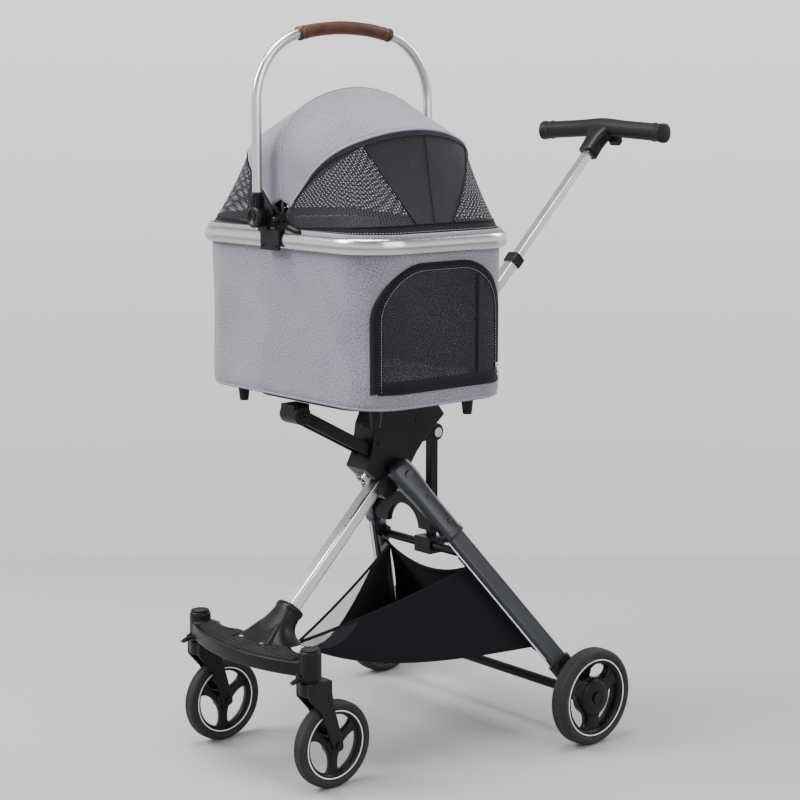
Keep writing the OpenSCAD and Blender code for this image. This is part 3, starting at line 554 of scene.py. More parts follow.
def mould(names, material, voxel, passes):
    """Gives CAD nodes the flowing edges of a moulding, by a fine remesh and smoothing passes."""
    dress(names, material)
    for name in names:
        modify(nodes[name], "REMESH", "remesh", mode="VOXEL", voxel_size=voxel,
               use_smooth_shade=True)
        modify(nodes[name], "SMOOTH", "flow", factor=0.5, iterations=passes)


def dress_cad():
    dress(["seat_tray", "cross_brace", "leg_yoke", "bow_brackets"], PLASTIC, 1.2 * MM)
    mould(["hub_casting"], PLASTIC, 1.3 * MM, 14)
    mould(["front_plate"], PLASTIC, 1.2 * MM, 60)
    mould(["left_caster_fork", "right_caster_fork"], PLASTIC, 1.1 * MM, 30)
    mould(["seat_arm"], PLASTIC, 1.1 * MM, 8)
    dress(["plate_tread"], TREAD, 0.4 * MM)
    dress(["left_swivel_lock", "right_swivel_lock", "release_lever", "tube_collar",
           "left_axle_bracket", "right_axle_bracket", "left_brake_pedal",
           "right_brake_pedal", "fold_strut"], PLASTIC, 0.8 * MM)
    dress(["handle_trigger"], SOFT_PLASTIC, 1.5 * MM)
    dress(["carrier_feet"], SOFT_PLASTIC, 1.0 * MM)
    dress(["rear_axle_tube"], SOFT_PLASTIC)
    dress(["left_leg_tube", "right_leg_tube"], SLATE)
    dress(["front_pole", "outer_tube", "inner_tube"], POLE_METAL, 0.5 * MM)
    dress(["latch_lever"], CHROME, 0.5 * MM)
    dress(["left_caster_stem", "right_caster_stem", "plate_screws", "strut_pin"], CHROME,
          0.6 * MM)
    dress(["leg_pivot_bolt"], DARK_STEEL, 0.6 * MM)
    dress(["left_front_axle", "right_front_axle", "rear_axles"], SOFT_PLASTIC, 0.6 * MM)
    dress(["rear_hoop", "mid_hoop", "front_hoop"], DARK_STEEL)
    dress(["carrier_board"], BOARD, 0.8 * MM)


# ---------- Wheels ----------

def wheel(name, side, radius, width, seat, hub_r, body):
    """Tyre, three-spoke rim with flared spokes and a domed hub, and a white ring each side."""
    centre = middle(f"{name}_tyre")
    half = width / 2
    shoulder = 0.30 * width
    quarter = [(shoulder * math.cos(math.pi / 16 * k), shoulder * math.sin(math.pi / 16 * k))
               for k in range(9)]
    profile = [(-half + 1.5 * MM, seat)]
    profile += [(-(half - shoulder) - c, radius - shoulder + s) for c, s in quarter]
    for place in (-0.35, 0.35):
        at = place * (half - shoulder)
        profile += [(at + groove * MM, radius - deep * MM)
                    for groove, deep in ((-0.7, 0), (-0.3, 0.5), (0.3, 0.5), (0.7, 0))]
    profile += [(half - shoulder + c, radius - shoulder + s) for c, s in reversed(quarter)]
    profile.append((half - 1.5 * MM, seat))
    piece(f"{name}_tyre_shown", lathe(profile, centre, X * side, 96), RUBBER, body,
          [f"{name}_tyre"])

    mesh = bmesh.new()
    band = seat * 0.85
    rim_half = half - 2.5 * MM
    lathe([(-rim_half, seat), (-rim_half, seat - 2.5 * MM), (-rim_half + 3 * MM, band),
           (0, band - 1 * MM), (rim_half - 3 * MM, band), (rim_half, seat - 2.5 * MM),
           (rim_half, seat)], centre, X * side, 96, mesh)
    dome = rim_half + 2 * MM
    face = [(dome, 0.2 * MM), (dome, hub_r * 0.55), (dome - 1.5 * MM, hub_r * 0.85),
            (dome - 5 * MM, hub_r)]
    lathe([(-h, r) for h, r in face] + face[::-1], centre, X * side, 48, mesh)
    for k in range(3):
        spoke(mesh, centre, side, math.tau * k / 3 + math.pi / 6, hub_r, band, rim_half)
    piece(f"{name}_rim_shown", mesh, PLASTIC, body, [f"{name}_rim"])

    ring = bmesh.new()
    for s in (-1, 1):
        out = s * (rim_half + 0.2 * MM)
        lathe([(out + s * step * MM, seat - drop * MM) for step, drop in
               ((0, 4.4), (0.9, 3.9), (0.9, 2.3), (0, 1.8), (-1.5, 3.1))],
              centre, X * side, 96, ring)
    piece(f"{name}_ring", ring, WHITE_RING, body)


def spoke(mesh, centre, side, angle, inner, outer, half):
    """One spoke: waisted in the middle, flared into the hub and the band."""
    way = Vector((0, math.cos(angle), math.sin(angle)))
    rows = []
    for k in range(11):
        t = k / 10
        reach = inner * 0.7 + (outer + 1.0 * MM - inner * 0.7) * t
        flare = (2 * t - 1) ** 2
        wide = inner * (0.44 + 0.30 * flare + 0.18 * max(0.0, t - 0.75) * 4)
        thick = half * (0.62 + 0.20 * (1 - t))
        rows.append(oval(centre + way * reach, X.cross(way), X * side, wide, thick, 0.5, 12))
    grid(rows, closed_u=True, cap=True, mesh=mesh)


# Radius, width, radius of the tyre's seat and of the hub
WHEELS = {"rear": (90 * MM, 34 * MM, 74 * MM, 35 * MM),
          "front": (77.5 * MM, 25 * MM, 63 * MM, 18 * MM)}


def wheels():
    for word, side in SIDES:
        for kind, sizes in WHEELS.items():
            wheel(f"{word}_{kind}", side, *sizes, f"{word}_{kind}_wheel")


# ---------- Carrier ----------

def wall_point(place, z, grow=0.0):
    """Point on the carrier's cloth at outline entry place and height z, with its soft bulge."""
    x, y, nx, ny = place
    share = (z - CAR_LOW) / (CAR_TOP - CAR_LOW)
    swell = math.sin(math.pi * min(1.0, max(0.0, share)))
    tuck = 6 * MM * max(0.0, 1 - share / 0.05) ** 2
    ripple = 0.5 * MM * math.sin(9 * math.atan2(y - CAR_Y, x) + 4 * share)
    out = grow - tuck - 1.6 * MM * swell ** 2 + ripple * swell
    return Vector((x + nx * out, y + ny * out, z))


def arch_points(inset, count=64):
    """The door's arch as (y, z) points, from its low front corner up and over to the back."""
    half = (DOOR_HIGH.y - DOOR_LOW.y) / 2
    corner = DOOR_CORNER - inset
    low = DOOR_LOW.z + inset * 0.4
    leg = (DOOR_HIGH.z - DOOR_CORNER - low, 0)
    bend = (corner, -math.pi / 2)
    runs = [leg, bend, (2 * (half - DOOR_CORNER), 0), bend, leg]
    line = trace(DOOR_Y - half + inset, low, math.pi / 2, runs, count)
    return [(y, z) for y, z, _ in line]


def skin_x(y, z, out=0.0):
    """Point on the +X end's cloth at (y, z), out metres proud of the CAD wall."""
    radius = CAR_R + out
    off = max(0.0, abs(y - CAR_Y) - (CAR_B - CAR_R))
    return Vector((CAR_A - CAR_R + math.sqrt(max(0.0, radius ** 2 - off ** 2)), y, z))


def shrunk(ring, share, z):
    """The outline drawn in to a share of its size, at height z."""
    return [Vector((x * share, CAR_Y + (y - CAR_Y) * share, z)) for x, y, _, _ in ring]


def carrier_body():
    """Cloth walls and floor as one shell with the door's opening cut through it."""
    count = 240
    ring = outline(0.0, count)
    heights = [CAR_LOW + (CAR_TOP - CAR_LOW) * t for t in
               [0, 0.006, 0.015, 0.03, 0.05] + [0.05 + 0.95 * k / 22 for k in range(1, 23)]]
    rows = []
    for inset in (0.5, 0.8, 0.93):
        rows.append(shrunk(ring, inset, CAR_LOW + 0.4 * MM))
    rows += [[wall_point(p, z) for p in ring] for z in heights]
    mesh = grid(rows, closed_u=True)
    mesh.verts.ensure_lookup_table()
    mesh.faces.new(mesh.verts[:count])
    body = piece("carrier_walls", mesh, GREY_CLOTH, cad=["carrier_shell"])
    modify(body, "SOLIDIFY", "thickness", thickness=4.2 * MM, offset=-1.0)
    cutter = bmesh.new()
    arch = arch_points(11 * MM)
    grid([[Vector((x, y, z)) for y, z in arch] for x in (0.15, 0.30)], closed_u=True,
         cap=True, mesh=cutter)
    tool = piece("door_cutter", cutter, BLACK_CLOTH)
    modify(body, "BOOLEAN", "door_opening", object=tool, operation="DIFFERENCE",
           solver="EXACT")
    apply_modifiers(body)
    bpy.data.objects.remove(tool)
    modify(body, "EDGE_SPLIT", "sharp_edges", split_angle=math.radians(50))
    apply_modifiers(body)
    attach(body, "carrier")


def outline_band(name, grow, z, thick, tall, material, sides=10, cad=()):
    """Band of oval section that runs all the way round the carrier."""
    path = [Vector((x, y, z)) for x, y, _, _ in outline(grow, 240)]
    mesh = sweep(path, tall / 2, sides, thick / tall, closed=True)
    return piece(name, mesh, material, "carrier", cad=cad)


def wall_seams():
    """Fine stitched seams down the two back corners."""
    mesh = bmesh.new()
    ring = outline(0.3 * MM, 400)
    for share in (0.145, 0.355):
        place = ring[int(share * 400)]
        path = [wall_point(place, CAR_LOW + 8 * MM + (RIM_LOW.z - CAR_LOW - 8 * MM) * k / 24,
                           -0.1 * MM) for k in range(25)]
        sweep(path, 0.7 * MM, 6, mesh=mesh)
    piece("wall_seams", mesh, PIPING, "carrier")


def carrier_trim():
    outline_band("mouth_band", 1.5 * MM, CAR_TOP + 1.5 * MM, 7 * MM, 13 * MM, GREY_CLOTH)
    outline_band("mouth_piping", 3.5 * MM, CAR_TOP - 4 * MM, 3 * MM, 3 * MM, PIPING)
    outline_band("base_piping", -3.2 * MM, CAR_LOW + 3.6 * MM, 3 * MM, 3 * MM, PIPING)
    outline_band("rim_shown", RIM_HIGH.x - CAR_A - RIM_THICK / 2, RIM_Z, RIM_THICK,
                 RIM_HIGH.z - RIM_LOW.z, RIM_METAL, 36, ["rim_tube"])
    wall_seams()


def cushion():
    """Padded mat on the carrier's floor: pressure-simulated, then quilted by its seams."""
    low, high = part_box("carrier_cushion")
    grow = high.x - CAR_A - 4 * MM
    ring = outline(grow, 96)
    rows = []
    for inset, z in ((0.0, low.z + 3 * MM), (0.4, low.z), (1.0, low.z + 1 * MM),
                     (1.0, high.z - 7 * MM), (0.4, high.z - 4 * MM), (0.0, high.z - 3 * MM)):
        rows.append(shrunk(ring, 0.88 + 0.12 * inset, z))
    mesh = grid(rows, closed_u=True, cap=True)
    mat = piece("cushion_shown", mesh, CUSHION_CLOTH, cad=["carrier_cushion"])
    modify(mat, "REMESH", "remesh", mode="VOXEL", voxel_size=6 * MM)
    apply_modifiers(mat)
    inflate(mat, low, high)
    uv = mat.data.uv_layers.new(name="UVMap")
    for loop in mat.data.loops:
        uv.data[loop.index].uv = mat.data.vertices[loop.vertex_index].co.xy
    for vertex in mat.data.vertices:
        co = vertex.co
        if co.z > (low.z + high.z) / 2:
            cells = min(abs(math.sin(math.pi * (co.x + 0.06) / 0.12)),
                        abs(math.sin(math.pi * (co.y - CAR_Y + 0.06) / 0.12)))
            co.z -= 3.5 * MM * max(0.0, 1 - cells * 4) ** 2
            co.z = min(co.z, high.z + 4 * MM)
        co.z = max(co.z, low.z)
    modify(mat, "SUBSURF", "smooth", levels=1, render_levels=1)
    apply_modifiers(mat)
    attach(mat, "carrier")


def inflate(soft, low, high):
    """Cloth pressure fills the pad, with each point's travel capped."""
    rest = [v.co.copy() for v in soft.data.vertices]
    modifier = modify(soft, "CLOTH", "cloth")
    settings = modifier.settings
    settings.use_pressure = True
    settings.uniform_pressure_force = 4
    settings.effector_weights.gravity = 0
    settings.quality = 4
    scene = bpy.context.scene
    for step in range(1, 21):
        scene.frame_set(step)
    graph = bpy.context.evaluated_depsgraph_get()
    moved = [v.co.copy() for v in soft.evaluated_get(graph).data.vertices]
    soft.modifiers.clear()
    cap = 7 * MM
    for vertex, start, end in zip(soft.data.vertices, rest, moved):
        travel = end - start
        if travel.length > cap:
            travel *= cap / travel.length
        vertex.co = start + travel
        vertex.co.x = max(low.x, min(high.x, vertex.co.x))
        vertex.co.y = max(low.y, min(high.y, vertex.co.y))
        vertex.co.z = max(low.z, min(high.z + 3 * MM, vertex.co.z))
    scene.frame_set(1)


# ---------- Door ----------

DOOR_NET_INSET = 13 * MM
NET_ARCH = arch_points(DOOR_NET_INSET, 96)


def door_strip(inset_a, inset_b, out, thick, count=110):
    """Closed strip that follows the arch between two insets, on the end wall."""
    outer, inner = arch_points(inset_a, count), arch_points(inset_b, count)
    crown = out + thick
    middle_line = [((a[0] + b[0]) / 2, (a[1] + b[1]) / 2) for a, b in zip(outer, inner)]
    rows = [[skin_x(y, z, height) for y, z in line] for line, height in (
        (outer, out), (outer, crown - thick * 0.3), (middle_line, crown),
        (inner, crown - thick * 0.3), (inner, out))]
    return grid(rows, closed_v=True)


def side_uv(mesh):
    """UVs that are the points' own (y, z)."""
    uv = mesh.loops.layers.uv.verify()
    for face in mesh.faces:
        for loop in face.loops:
            loop[uv].uv = loop.vert.co.yz
    return mesh


def door_panel():
    """Net that fills the arch: one sheet, curved round the corner of the carrier."""
    columns, levels = 60, 40
    half = (DOOR_HIGH.y - DOOR_LOW.y) / 2 - DOOR_NET_INSET
    low = DOOR_LOW.z + 2 * MM
    points = []
    for i in range(levels + 1):
        row = []
        for j in range(columns + 1):
            y = DOOR_Y - half + 2 * half * j / columns
            z = low + (arch_top(y) - low) * i / levels
            slack = 1.6 * MM * math.sin(math.pi * i / levels) * math.sin(math.pi * j / columns)
            row.append(skin_x(y, z, 1.4 * MM - slack))
        points.append(row)
    return piece("door_net", side_uv(grid(points)), DOOR_NET, "door", ["mesh_door"]), points


def arch_top(y):
    """Height of the net's arch over a given y."""
    best = DOOR_LOW.z
    for (y0, z0), (y1, z1) in zip(NET_ARCH, NET_ARCH[1:]):
        if min(y0, y1) - 1e-9 <= y <= max(y0, y1) + 1e-9:
            share = 0.5 if abs(y1 - y0) < 1e-9 else (y - y0) / (y1 - y0)
            best = max(best, z0 + (z1 - z0) * share)
    return best


def zip_teeth():
    """Coil zip round the arch, as a run of small teeth on each side of its line."""
    mesh = bmesh.new()
    line = arch_points(4.5 * MM, 300)
    for k, (y, z) in enumerate(line[:-1]):
        here = skin_x(y, z, 3.4 * MM)
        there = skin_x(*line[k + 1], 3.4 * MM)
        along = (there - here).normalized()
        out = (skin_x(y, z, 8 * MM) - here).normalized()
        turn = Matrix((along, out.cross(along), out)).transposed().to_4x4()
        offset = out.cross(along) * (0.6 * MM if k % 2 else -0.6 * MM)
        round_box(here + offset, (1.1 * MM, 2.2 * MM, 0.9 * MM), 0.25 * MM, mesh, turn, 1)
    piece("door_zip", mesh, PLASTIC, "door")


def stitches(name, points, out_way, length, gap, radius, material, body):
    """Row of short thread stitches along points; out_way(point) lifts each off its cloth."""
    mesh = bmesh.new()
    run = run_of(points)

    def at(distance):
        k = next(k for k in range(len(points) - 1) if distance <= run[k + 1])
        span = max(run[k + 1] - run[k], 1e-9)
        return points[k].lerp(points[k + 1], (distance - run[k]) / span)

    place = 0.0
    while place + length < run[-1]:
        path = [at(place + length * k / 3) for k in range(4)]
        sweep([p + out_way(p) * radius * lift for p, lift in zip(path, (0.2, 1.0, 1.0, 0.2))],
              radius, 5, mesh=mesh)
        place += length + gap
    return piece(name, mesh, material, body)


def out_of_wall(p):
    """Outward direction of the +X end's cloth at a point."""
    return (skin_x(p.y, p.z, 10 * MM) - skin_x(p.y, p.z, 0.0)).normalized()


def door():
    panel, points = door_panel()
    border = piece("door_border", door_strip(0.0, 15 * MM, 0.7 * MM, 2.4 * MM), WEBBING, "door")
    zip_teeth()
    line = [skin_x(y, z, 2.6 * MM) for y, z in arch_points(13.2 * MM, 90)]
    stitches("door_stitches", line, out_of_wall, 2.6 * MM, 2.2 * MM, 0.45 * MM, GREY_STITCH,
             "door")
    half = (DOOR_HIGH.y - DOOR_LOW.y) / 2 - 9 * MM
    rows = [[skin_x(DOOR_Y - half + 2 * half * k / 60, DOOR_LOW.z + height * MM, out * MM)
             for k in range(61)]
            for height, out in ((0.0, 1.2), (0.0, 2.9), (11.0, 3.2), (22.0, 2.9), (22.0, 1.2))]
    hem = piece("door_hem", grid(rows, closed_v=True), BLACK_CLOTH, "door")
    seam_y = DOOR_Y + half * 0.62
    tall = arch_top(seam_y) - DOOR_LOW.z - 16 * MM
    rows = [[skin_x(seam_y + across * MM, DOOR_LOW.z + 12 * MM + tall * k / 20, out * MM)
             for k in range(21)]
            for across, out in ((-5, 1.2), (-5, 2.4), (0, 2.8), (5, 2.4), (5, 1.2))]
    seam = piece("door_seam", grid(rows, closed_v=True), BLACK_CLOTH, "door")
    place = skin_x(DOOR_Y + half - 2 * MM, DOOR_LOW.z + 30 * MM, 4.6 * MM)
    pull = round_box(place, (2.4 * MM, 6 * MM, 9 * MM), 0.8 * MM)
    round_box(place + Vector((1.6 * MM, 1 * MM, -11 * MM)), (1.4 * MM, 4 * MM, 14 * MM),
              0.5 * MM, pull)
    piece("door_zip_pull", pull, CHROME, "door")
    declare(points)


# ---------- Canopy ----------

HALF = 165 * MM
LEG = 108 * MM
CORNER = 90 * MM
TURN = math.radians(60)
FRONT_TILT = math.radians(46)
REAR_TILT = math.radians(-45)


def arch_profile(grow, count=72, low=34 * MM):
    """A hoop's line as (y, r) points, from its front leg over the crown to its back leg."""
    crown = CORNER + (HALF - CORNER) / math.cos(TURN)
    leg = (LEG - low, 0)
    bend = (CORNER + grow, -TURN)
    runs = [leg, bend, (crown + grow, 2 * TURN - math.pi), bend, leg]
    return [(y, r) for y, r, _ in trace(-HALF - grow, low, math.pi / 2, runs, count)]


def on_hoop(tilt, y, r):
    """Point in the row frame of (y, r) in the plane tilted about the hoops' axis."""
    return Vector((HOOP.x + r * math.sin(tilt), CAR_Y + y, HOOP.z + r * math.cos(tilt)))


def hood():
    """One continuous sheet over the three hoops, pulled a little flat between them."""
    steps = 44
    grow = 4.3 * MM
    profile = arch_profile(grow, 88)
    rows = []
    for k in range(steps + 1):
        tilt = REAR_TILT + (FRONT_TILT - REAR_TILT) * k / steps
        whole = FRONT_TILT if tilt > 0 else -REAR_TILT
        bay = math.sin(math.pi * abs(tilt) / whole)
        chord = math.cos(whole / 2) / math.cos(abs(tilt) - whole / 2)
        row = []
        for y, r in profile:
            fine = 0.4 * MM * math.sin(tilt * 31 + y * 40) * bay
            row.append(on_hoop(tilt, y, r * (0.06 + 0.94 * chord) - fine))
        rows.append(row)
    mesh = grid(rows)
    cover = piece("canopy_cloth", mesh, HOOD_CLOTH, cad=["canopy_hood"])
    modify(cover, "SOLIDIFY", "thickness", thickness=1.2 * MM, offset=0.0)
    apply_modifiers(cover)
    swing(cover)


def swing(made):
    """Cloth between the fixed rear hoop and the folding front hoop, with its transform baked into
    its mesh; it is put on no body.
    """
    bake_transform(made)


def hoop_trim(name, tilt, radius, grow):
    """Piping along one hoop's line."""
    path = [on_hoop(tilt, y, r) for y, r in arch_profile(grow, 120)]
    return piece(name, sweep(path, radius, 10), PIPING)


def mouth_line(side):
    """Outline entries of the carrier's mouth round one end, from the front pivot to the back."""
    ends = [p for p in outline(-2.5 * MM, 240) if side * p[0] > 20 * MM]
    return sorted(ends, key=lambda p: math.atan2(p[1] - CAR_Y, side * p[0]))


COLUMNS = (4, 26, 36, 26, 4)
LEVELS = 40
BAND = 4
WINDOW_TOP = 38
WINDOW_EDGES = tuple(sum(COLUMNS[:k]) for k in (2, 3, 4))


def end_rows(side, tilt, lift=0.0):
    """Rows of points of one end's cloth, from the mouth up to the hoop.

    The columns follow the slanting edges of the windows, so each cloth ends on a line of points.
    """
    profile = arch_profile(3.6 * MM + lift, 240, 35 * MM)
    mouth = mouth_line(side)
    rows = []
    for i in range(LEVELS + 1):
        t = i / LEVELS
        marks = (0.0, 0.035, 0.43 - 0.12 * t, 0.51 + 0.23 * t, 0.965, 1.0)
        row = []
        for k, count in enumerate(COLUMNS):
            for j in range(count):
                row.append(marks[k] + (marks[k + 1] - marks[k]) * j / count)
        row.append(1.0)
        points = []
        for share in row:
            base = Vector((*between(mouth, share)[:2], CAR_TOP + 6 * MM))
            y, r = between(profile, share)
            p = base.lerp(on_hoop(tilt, y, r), t)
            pull = 4 * t * (1 - t)
            p.x -= side * 4 * MM * pull
            p.z -= 3 * MM * pull
            p += Vector((side, 0, 0.5)) * lift
            points.append(p)
        rows.append(points)
    return rows


def cloth_of(i, j):
    """Material index of a cell: 0 ribbed panel, 1 net window, 2 plain band at the mouth."""
    if i < BAND:
        return 2
    in_window = COLUMNS[0] <= j < WINDOW_EDGES[0] or WINDOW_EDGES[1] <= j < WINDOW_EDGES[2]
    return 1 if i < WINDOW_TOP and in_window else 0


def lay_flat(mesh, rows):
    """UVs in metres that follow each column's own length, so that the net keeps its holes."""
    uv = mesh.loops.layers.uv.verify()
    along = run_of(rows[len(rows) // 2])
    for index, face in enumerate(mesh.faces):
        i, j = divmod(index, len(along) - 1)
        for loop, (m, n) in zip(face.loops, ((j, i), (j + 1, i), (j + 1, i + 1), (j, i + 1))):
            tall = (rows[-1][m] - rows[0][m]).length
            loop[uv].uv = (along[m], tall * n / (len(rows) - 1))


def canopy_end(side, word, tilt):
    """One end of the canopy: a sheet of ribbed cloth with net windows and a plain band."""
    rows = end_rows(side, tilt)
    mesh = grid(rows)
    for index, face in enumerate(mesh.faces):
        face.material_index = cloth_of(*divmod(index, sum(COLUMNS)))
    lay_flat(mesh, rows)
    end = piece(f"canopy_{word}_end", mesh, RIB_CLOTH, cad=["canopy_meshes"])
    end.data.materials.append(WINDOW_NET)
    end.data.materials.append(BLACK_CLOTH)
    return end, rows


def end_trim(side, word, tilt):
    """Bindings along the window edges, and the row of pale stitches over the mouth."""
    rows = end_rows(side, tilt, 0.7 * MM)
    mesh = bmesh.new()
    left, right, _ = WINDOW_EDGES
    for j, radius, sides in ((left, 1.4 * MM, 8), (right, 1.4 * MM, 8),
                             ((left + right) // 2, 0.9 * MM, 6)):
        sweep([row[j] for row in rows[BAND:WINDOW_TOP + 1]], radius, sides, mesh=mesh)
    for i in (BAND, WINDOW_TOP):
        sweep(rows[i][3:-3], 1.0 * MM, 6, mesh=mesh)
    hems = piece(f"window_hems_{word}", mesh, WEBBING)
    return hems, stitches(f"mouth_stitches_{word}", rows[1][4:-4], lambda p: X * side,
                          2.2 * MM, 3.0 * MM, 0.5 * MM, GREY_STITCH, None)


def lift_end(made):
    """Cloth of the front end, whose mouth meets the carrier and whose top meets the hoop: its
    transform is baked into its mesh, and it is put on no body.
    """
    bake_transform(made)


def on_carrier(made):
    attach(made, "carrier")


def canopy():
    hood()
    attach(hoop_trim("front_piping", FRONT_TILT, 2.6 * MM, 3.0 * MM), "front_hoop_frame")
    swing(hoop_trim("middle_seam", 0.0, 1.3 * MM, 4.9 * MM))
    on_carrier(hoop_trim("rear_piping", REAR_TILT, 2.2 * MM, 3.4 * MM))
    for side, word, tilt, place in ((1, "front", FRONT_TILT, lift_end),
                                    (-1, "rear", REAR_TILT, on_carrier)):
        tilt += side * math.radians(0.8)
        end, rows = canopy_end(side, word, tilt)
        trims = end_trim(side, word, tilt)
        for made in (end, *trims):
            place(made)
        declare(rows)


# ---------- Bow ----------

BOW_HALF = 194 * MM
BOW_R = 8.5 * MM
BOW_LEG_Z = 1170 * MM
BOW_CORNER = 121.5 * MM
BOW_TOP_R = 441.5 * MM
BOW_TURN = math.acos((BOW_HALF - BOW_CORNER) / (BOW_TOP_R - BOW_CORNER))


def bow_line(start, count=150):
    """The bow's centreline from one socket to the other."""
    leg = (BOW_LEG_Z - start, 0)
    bend = (BOW_CORNER, -BOW_TURN)
    runs = [leg, bend, (BOW_TOP_R, 2 * BOW_TURN - math.pi), bend, leg]
    line = trace(CAR_Y - BOW_HALF, start, math.pi / 2, runs, count)
    return [Vector((BOW.x, y, z)) for y, z, _ in line]


def bow():
    tube = sweep(bow_line(BOW.z + 30 * MM), BOW_R, 24)
    piece("bow_tube", tube, ALUMINIUM, "bow", cad=["bow_handle"])
    mesh = bmesh.new()
    heads = bmesh.new()
    for s in (-1, 1):
        foot = Vector((BOW.x, CAR_Y + s * BOW_HALF, BOW.z))
        out = s * BOW_R
        lathe([(-out, 16.5 * MM), (out * 0.7, 18.5 * MM), (out * 1.1, 18.2 * MM),
               (out * 1.3, 16 * MM), (out * 1.3, 13 * MM), (out * 1.1, 12 * MM),
               (out * 1.1, 0.1 * MM), (-out, 0.1 * MM)], foot, (0, 1, 0), 40, mesh)
        lathe([(0, 9.4 * MM), (36 * MM, 9.4 * MM), (38 * MM, 10.2 * MM), (41 * MM, 10.2 * MM),
               (43 * MM, 9 * MM), (43 * MM, 0.1 * MM), (0, 0.1 * MM)], foot, (0, 0, 1), 32,
              mesh)
        for rib in (-7, 7):
            round_box(foot + Vector((rib * MM, 0, 20 * MM)), (3 * MM, 2.1 * BOW_R, 32 * MM),
                      0.8 * MM, mesh)
        screw_head(heads, foot + Vector((0, s * (BOW_R + 0.3 * MM), 0)), (0, s, 0), 5 * MM)
        screw_head(heads, foot + Vector((0, s * 9.2 * MM, 27 * MM)), (0, s, 0), 2.8 * MM)
    piece("bow_sockets", mesh, PLASTIC, "bow")
    piece("bow_screws", heads, SOFT_PLASTIC, "bow")
    grip()


def grip():
    """Leather wrap: rolled ends, a butted seam underneath and its hand stitches."""
    line = bow_line(BOW.z, 600)
    half_length = 104 * MM
    path = [p for p in line if abs(p.y - CAR_Y) < half_length]

    def lumps(share, angle):
        end = min(share, 1 - share)
        rolled = 0.13 * math.exp(-((end - 0.016) / 0.013) ** 2)
        waves = 0.012 * math.sin(share * 21 + 2 * math.sin(angle))
        seam = -0.05 * math.exp(-((math.sin(angle) + 1) / 0.03))
        return 1 + rolled + waves + seam

    radius = BOW_R + 3 * MM
    piece("bow_grip_leather", sweep(path, radius, 40, lumps=lumps), LEATHER,
          "bow", cad=["bow_grip"])
    below = [p + Vector((0, 0, -radius + 0.2 * MM)) for p in path[4:-4]]
    stitches("bow_grip_seam", below, lambda p: Vector((0, 0, -1)), 4 * MM, 2.5 * MM, 0.7 * MM,
             STITCH, "bow")
    rings = bmesh.new()
    for p, q in ((path[10], path[11]), (path[-11], path[-12])):
        way = (q - p).normalized()
        lathe([(-0.5 * MM, radius), (0, radius + 0.9 * MM), (0.5 * MM, radius)], p, way, 40,
              rings)
    piece("bow_grip_end_threads", rings, STITCH, "bow")


def bracket_details():
    """Screws on the rim's brackets, and the arms that run from the hoops' pivots to the rim."""
    heads, arms = bmesh.new(), bmesh.new()
    for s in (-1, 1):
        face = CAR_Y + s * ((RIM_HIGH.y - RIM_LOW.y) / 2 + 4.5 * MM)
        for x in (2 * MM, 38 * MM):
            screw_head(heads, (BOW.x + x, face, RIM_Z - 9 * MM), Y * s, 3 * MM)
        screw_head(heads, (HOOP.x, CAR_Y + s * 179.6 * MM, HOOP.z), Y * s, 4.2 * MM)
        path = [Vector((HOOP.x + x * MM, CAR_Y + s * y * MM, HOOP.z + z * MM))
                for x, y, z in ((14, 174, -10), (30, 173, -14), (46, 171, -19), (58, 168, -23))]
        sweep(path, 5.2 * MM, 16, 0.6, mesh=arms)
    piece("bracket_screws", heads, SOFT_PLASTIC, "carrier")
    piece("strap_arms", arms, PLASTIC, "carrier")


# ---------- Handle ----------

def handle():
    """T handle: swept bar with grooved grip panels and flared ends, and its neck."""
    low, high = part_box("handle_bar")
    half = (high.x - low.x) / 2
    centre = Vector((0, 452.5 * MM, 1116 * MM))
    rows = []
    for k in range(261):
        x = -half + 2 * half * k / 260
        off = abs(x)
        droop = -7 * MM * (off / half) ** 1.5
        rise = 3 * MM * math.exp(-(off / (40 * MM)) ** 2)
        swell = max(0.0, (off - half + 26 * MM) / (26 * MM)) ** 2
        edge = max(0.0, (off - half + 3 * MM) / (3 * MM))
        shrink = 1 - 0.22 * edge ** 2
        grooved = 48 * MM < off < half - 24 * MM
        wave = 0.5 * MM * math.sin(off / (4.6 * MM) * math.tau) if grooved else 0.0
        rows.append(oval(centre + Vector((x, 0, rise + droop)), Y, Z,
                         (17.6 + 2.4 * swell) * MM * shrink, (17.0 + 2.6 * swell) * MM * shrink,
                         0.82, 40, lambda a: wave * max(0.0, abs(math.cos(a)) - 0.3)))
    piece("handle_bar_shown", grid(rows, closed_u=True, cap=True), SOFT_PLASTIC, "handle",
          ["handle_bar"])
    up = Vector((0, math.sqrt(0.5), math.sqrt(0.5))).cross(X)
    foot = Vector((0, 411 * MM, 1067 * MM))
    rows = []
    for k in range(15):
        flare = (k / 14) ** 2
        rows.append(oval(foot.lerp(centre + Vector((0, -2 * MM, -2 * MM)), k / 14), X, up,
                         (18.5 + 26 * flare * flare) * MM, (16.5 - 1.5 * flare) * MM, 0.6))
    piece("handle_neck", grid(rows, closed_u=True, cap=True), PLASTIC, "handle")
    rings = bmesh.new()
    for s in (-1, 1):
        lathe([(s * (half - back * MM), radius * MM) for back, radius in
               ((27, 16.4), (26, 18.4), (24, 18.7), (23, 16.6))],
              centre + Vector((0, 0, -5.4 * MM)), X, 40, rings)
    piece("handle_end_rings", rings, PLASTIC, "handle")


# ---------- Frame details ----------

# The left leg's line, and the ways across it; the right leg is its mirror image
LEG_TOP = Vector((47, -107, 500)) * MM
LEG_LOW = Vector((262, 124, 116)) * MM
LEG_WAY = (LEG_LOW - LEG_TOP).normalized()
LEG_ACROSS = (X - LEG_WAY.x * LEG_WAY).normalized()
LEG_FLAT = LEG_WAY.cross(LEG_ACROSS)


def flipped(s):
    """Factors that mirror a point to side s."""
    return Vector((s, 1, 1))

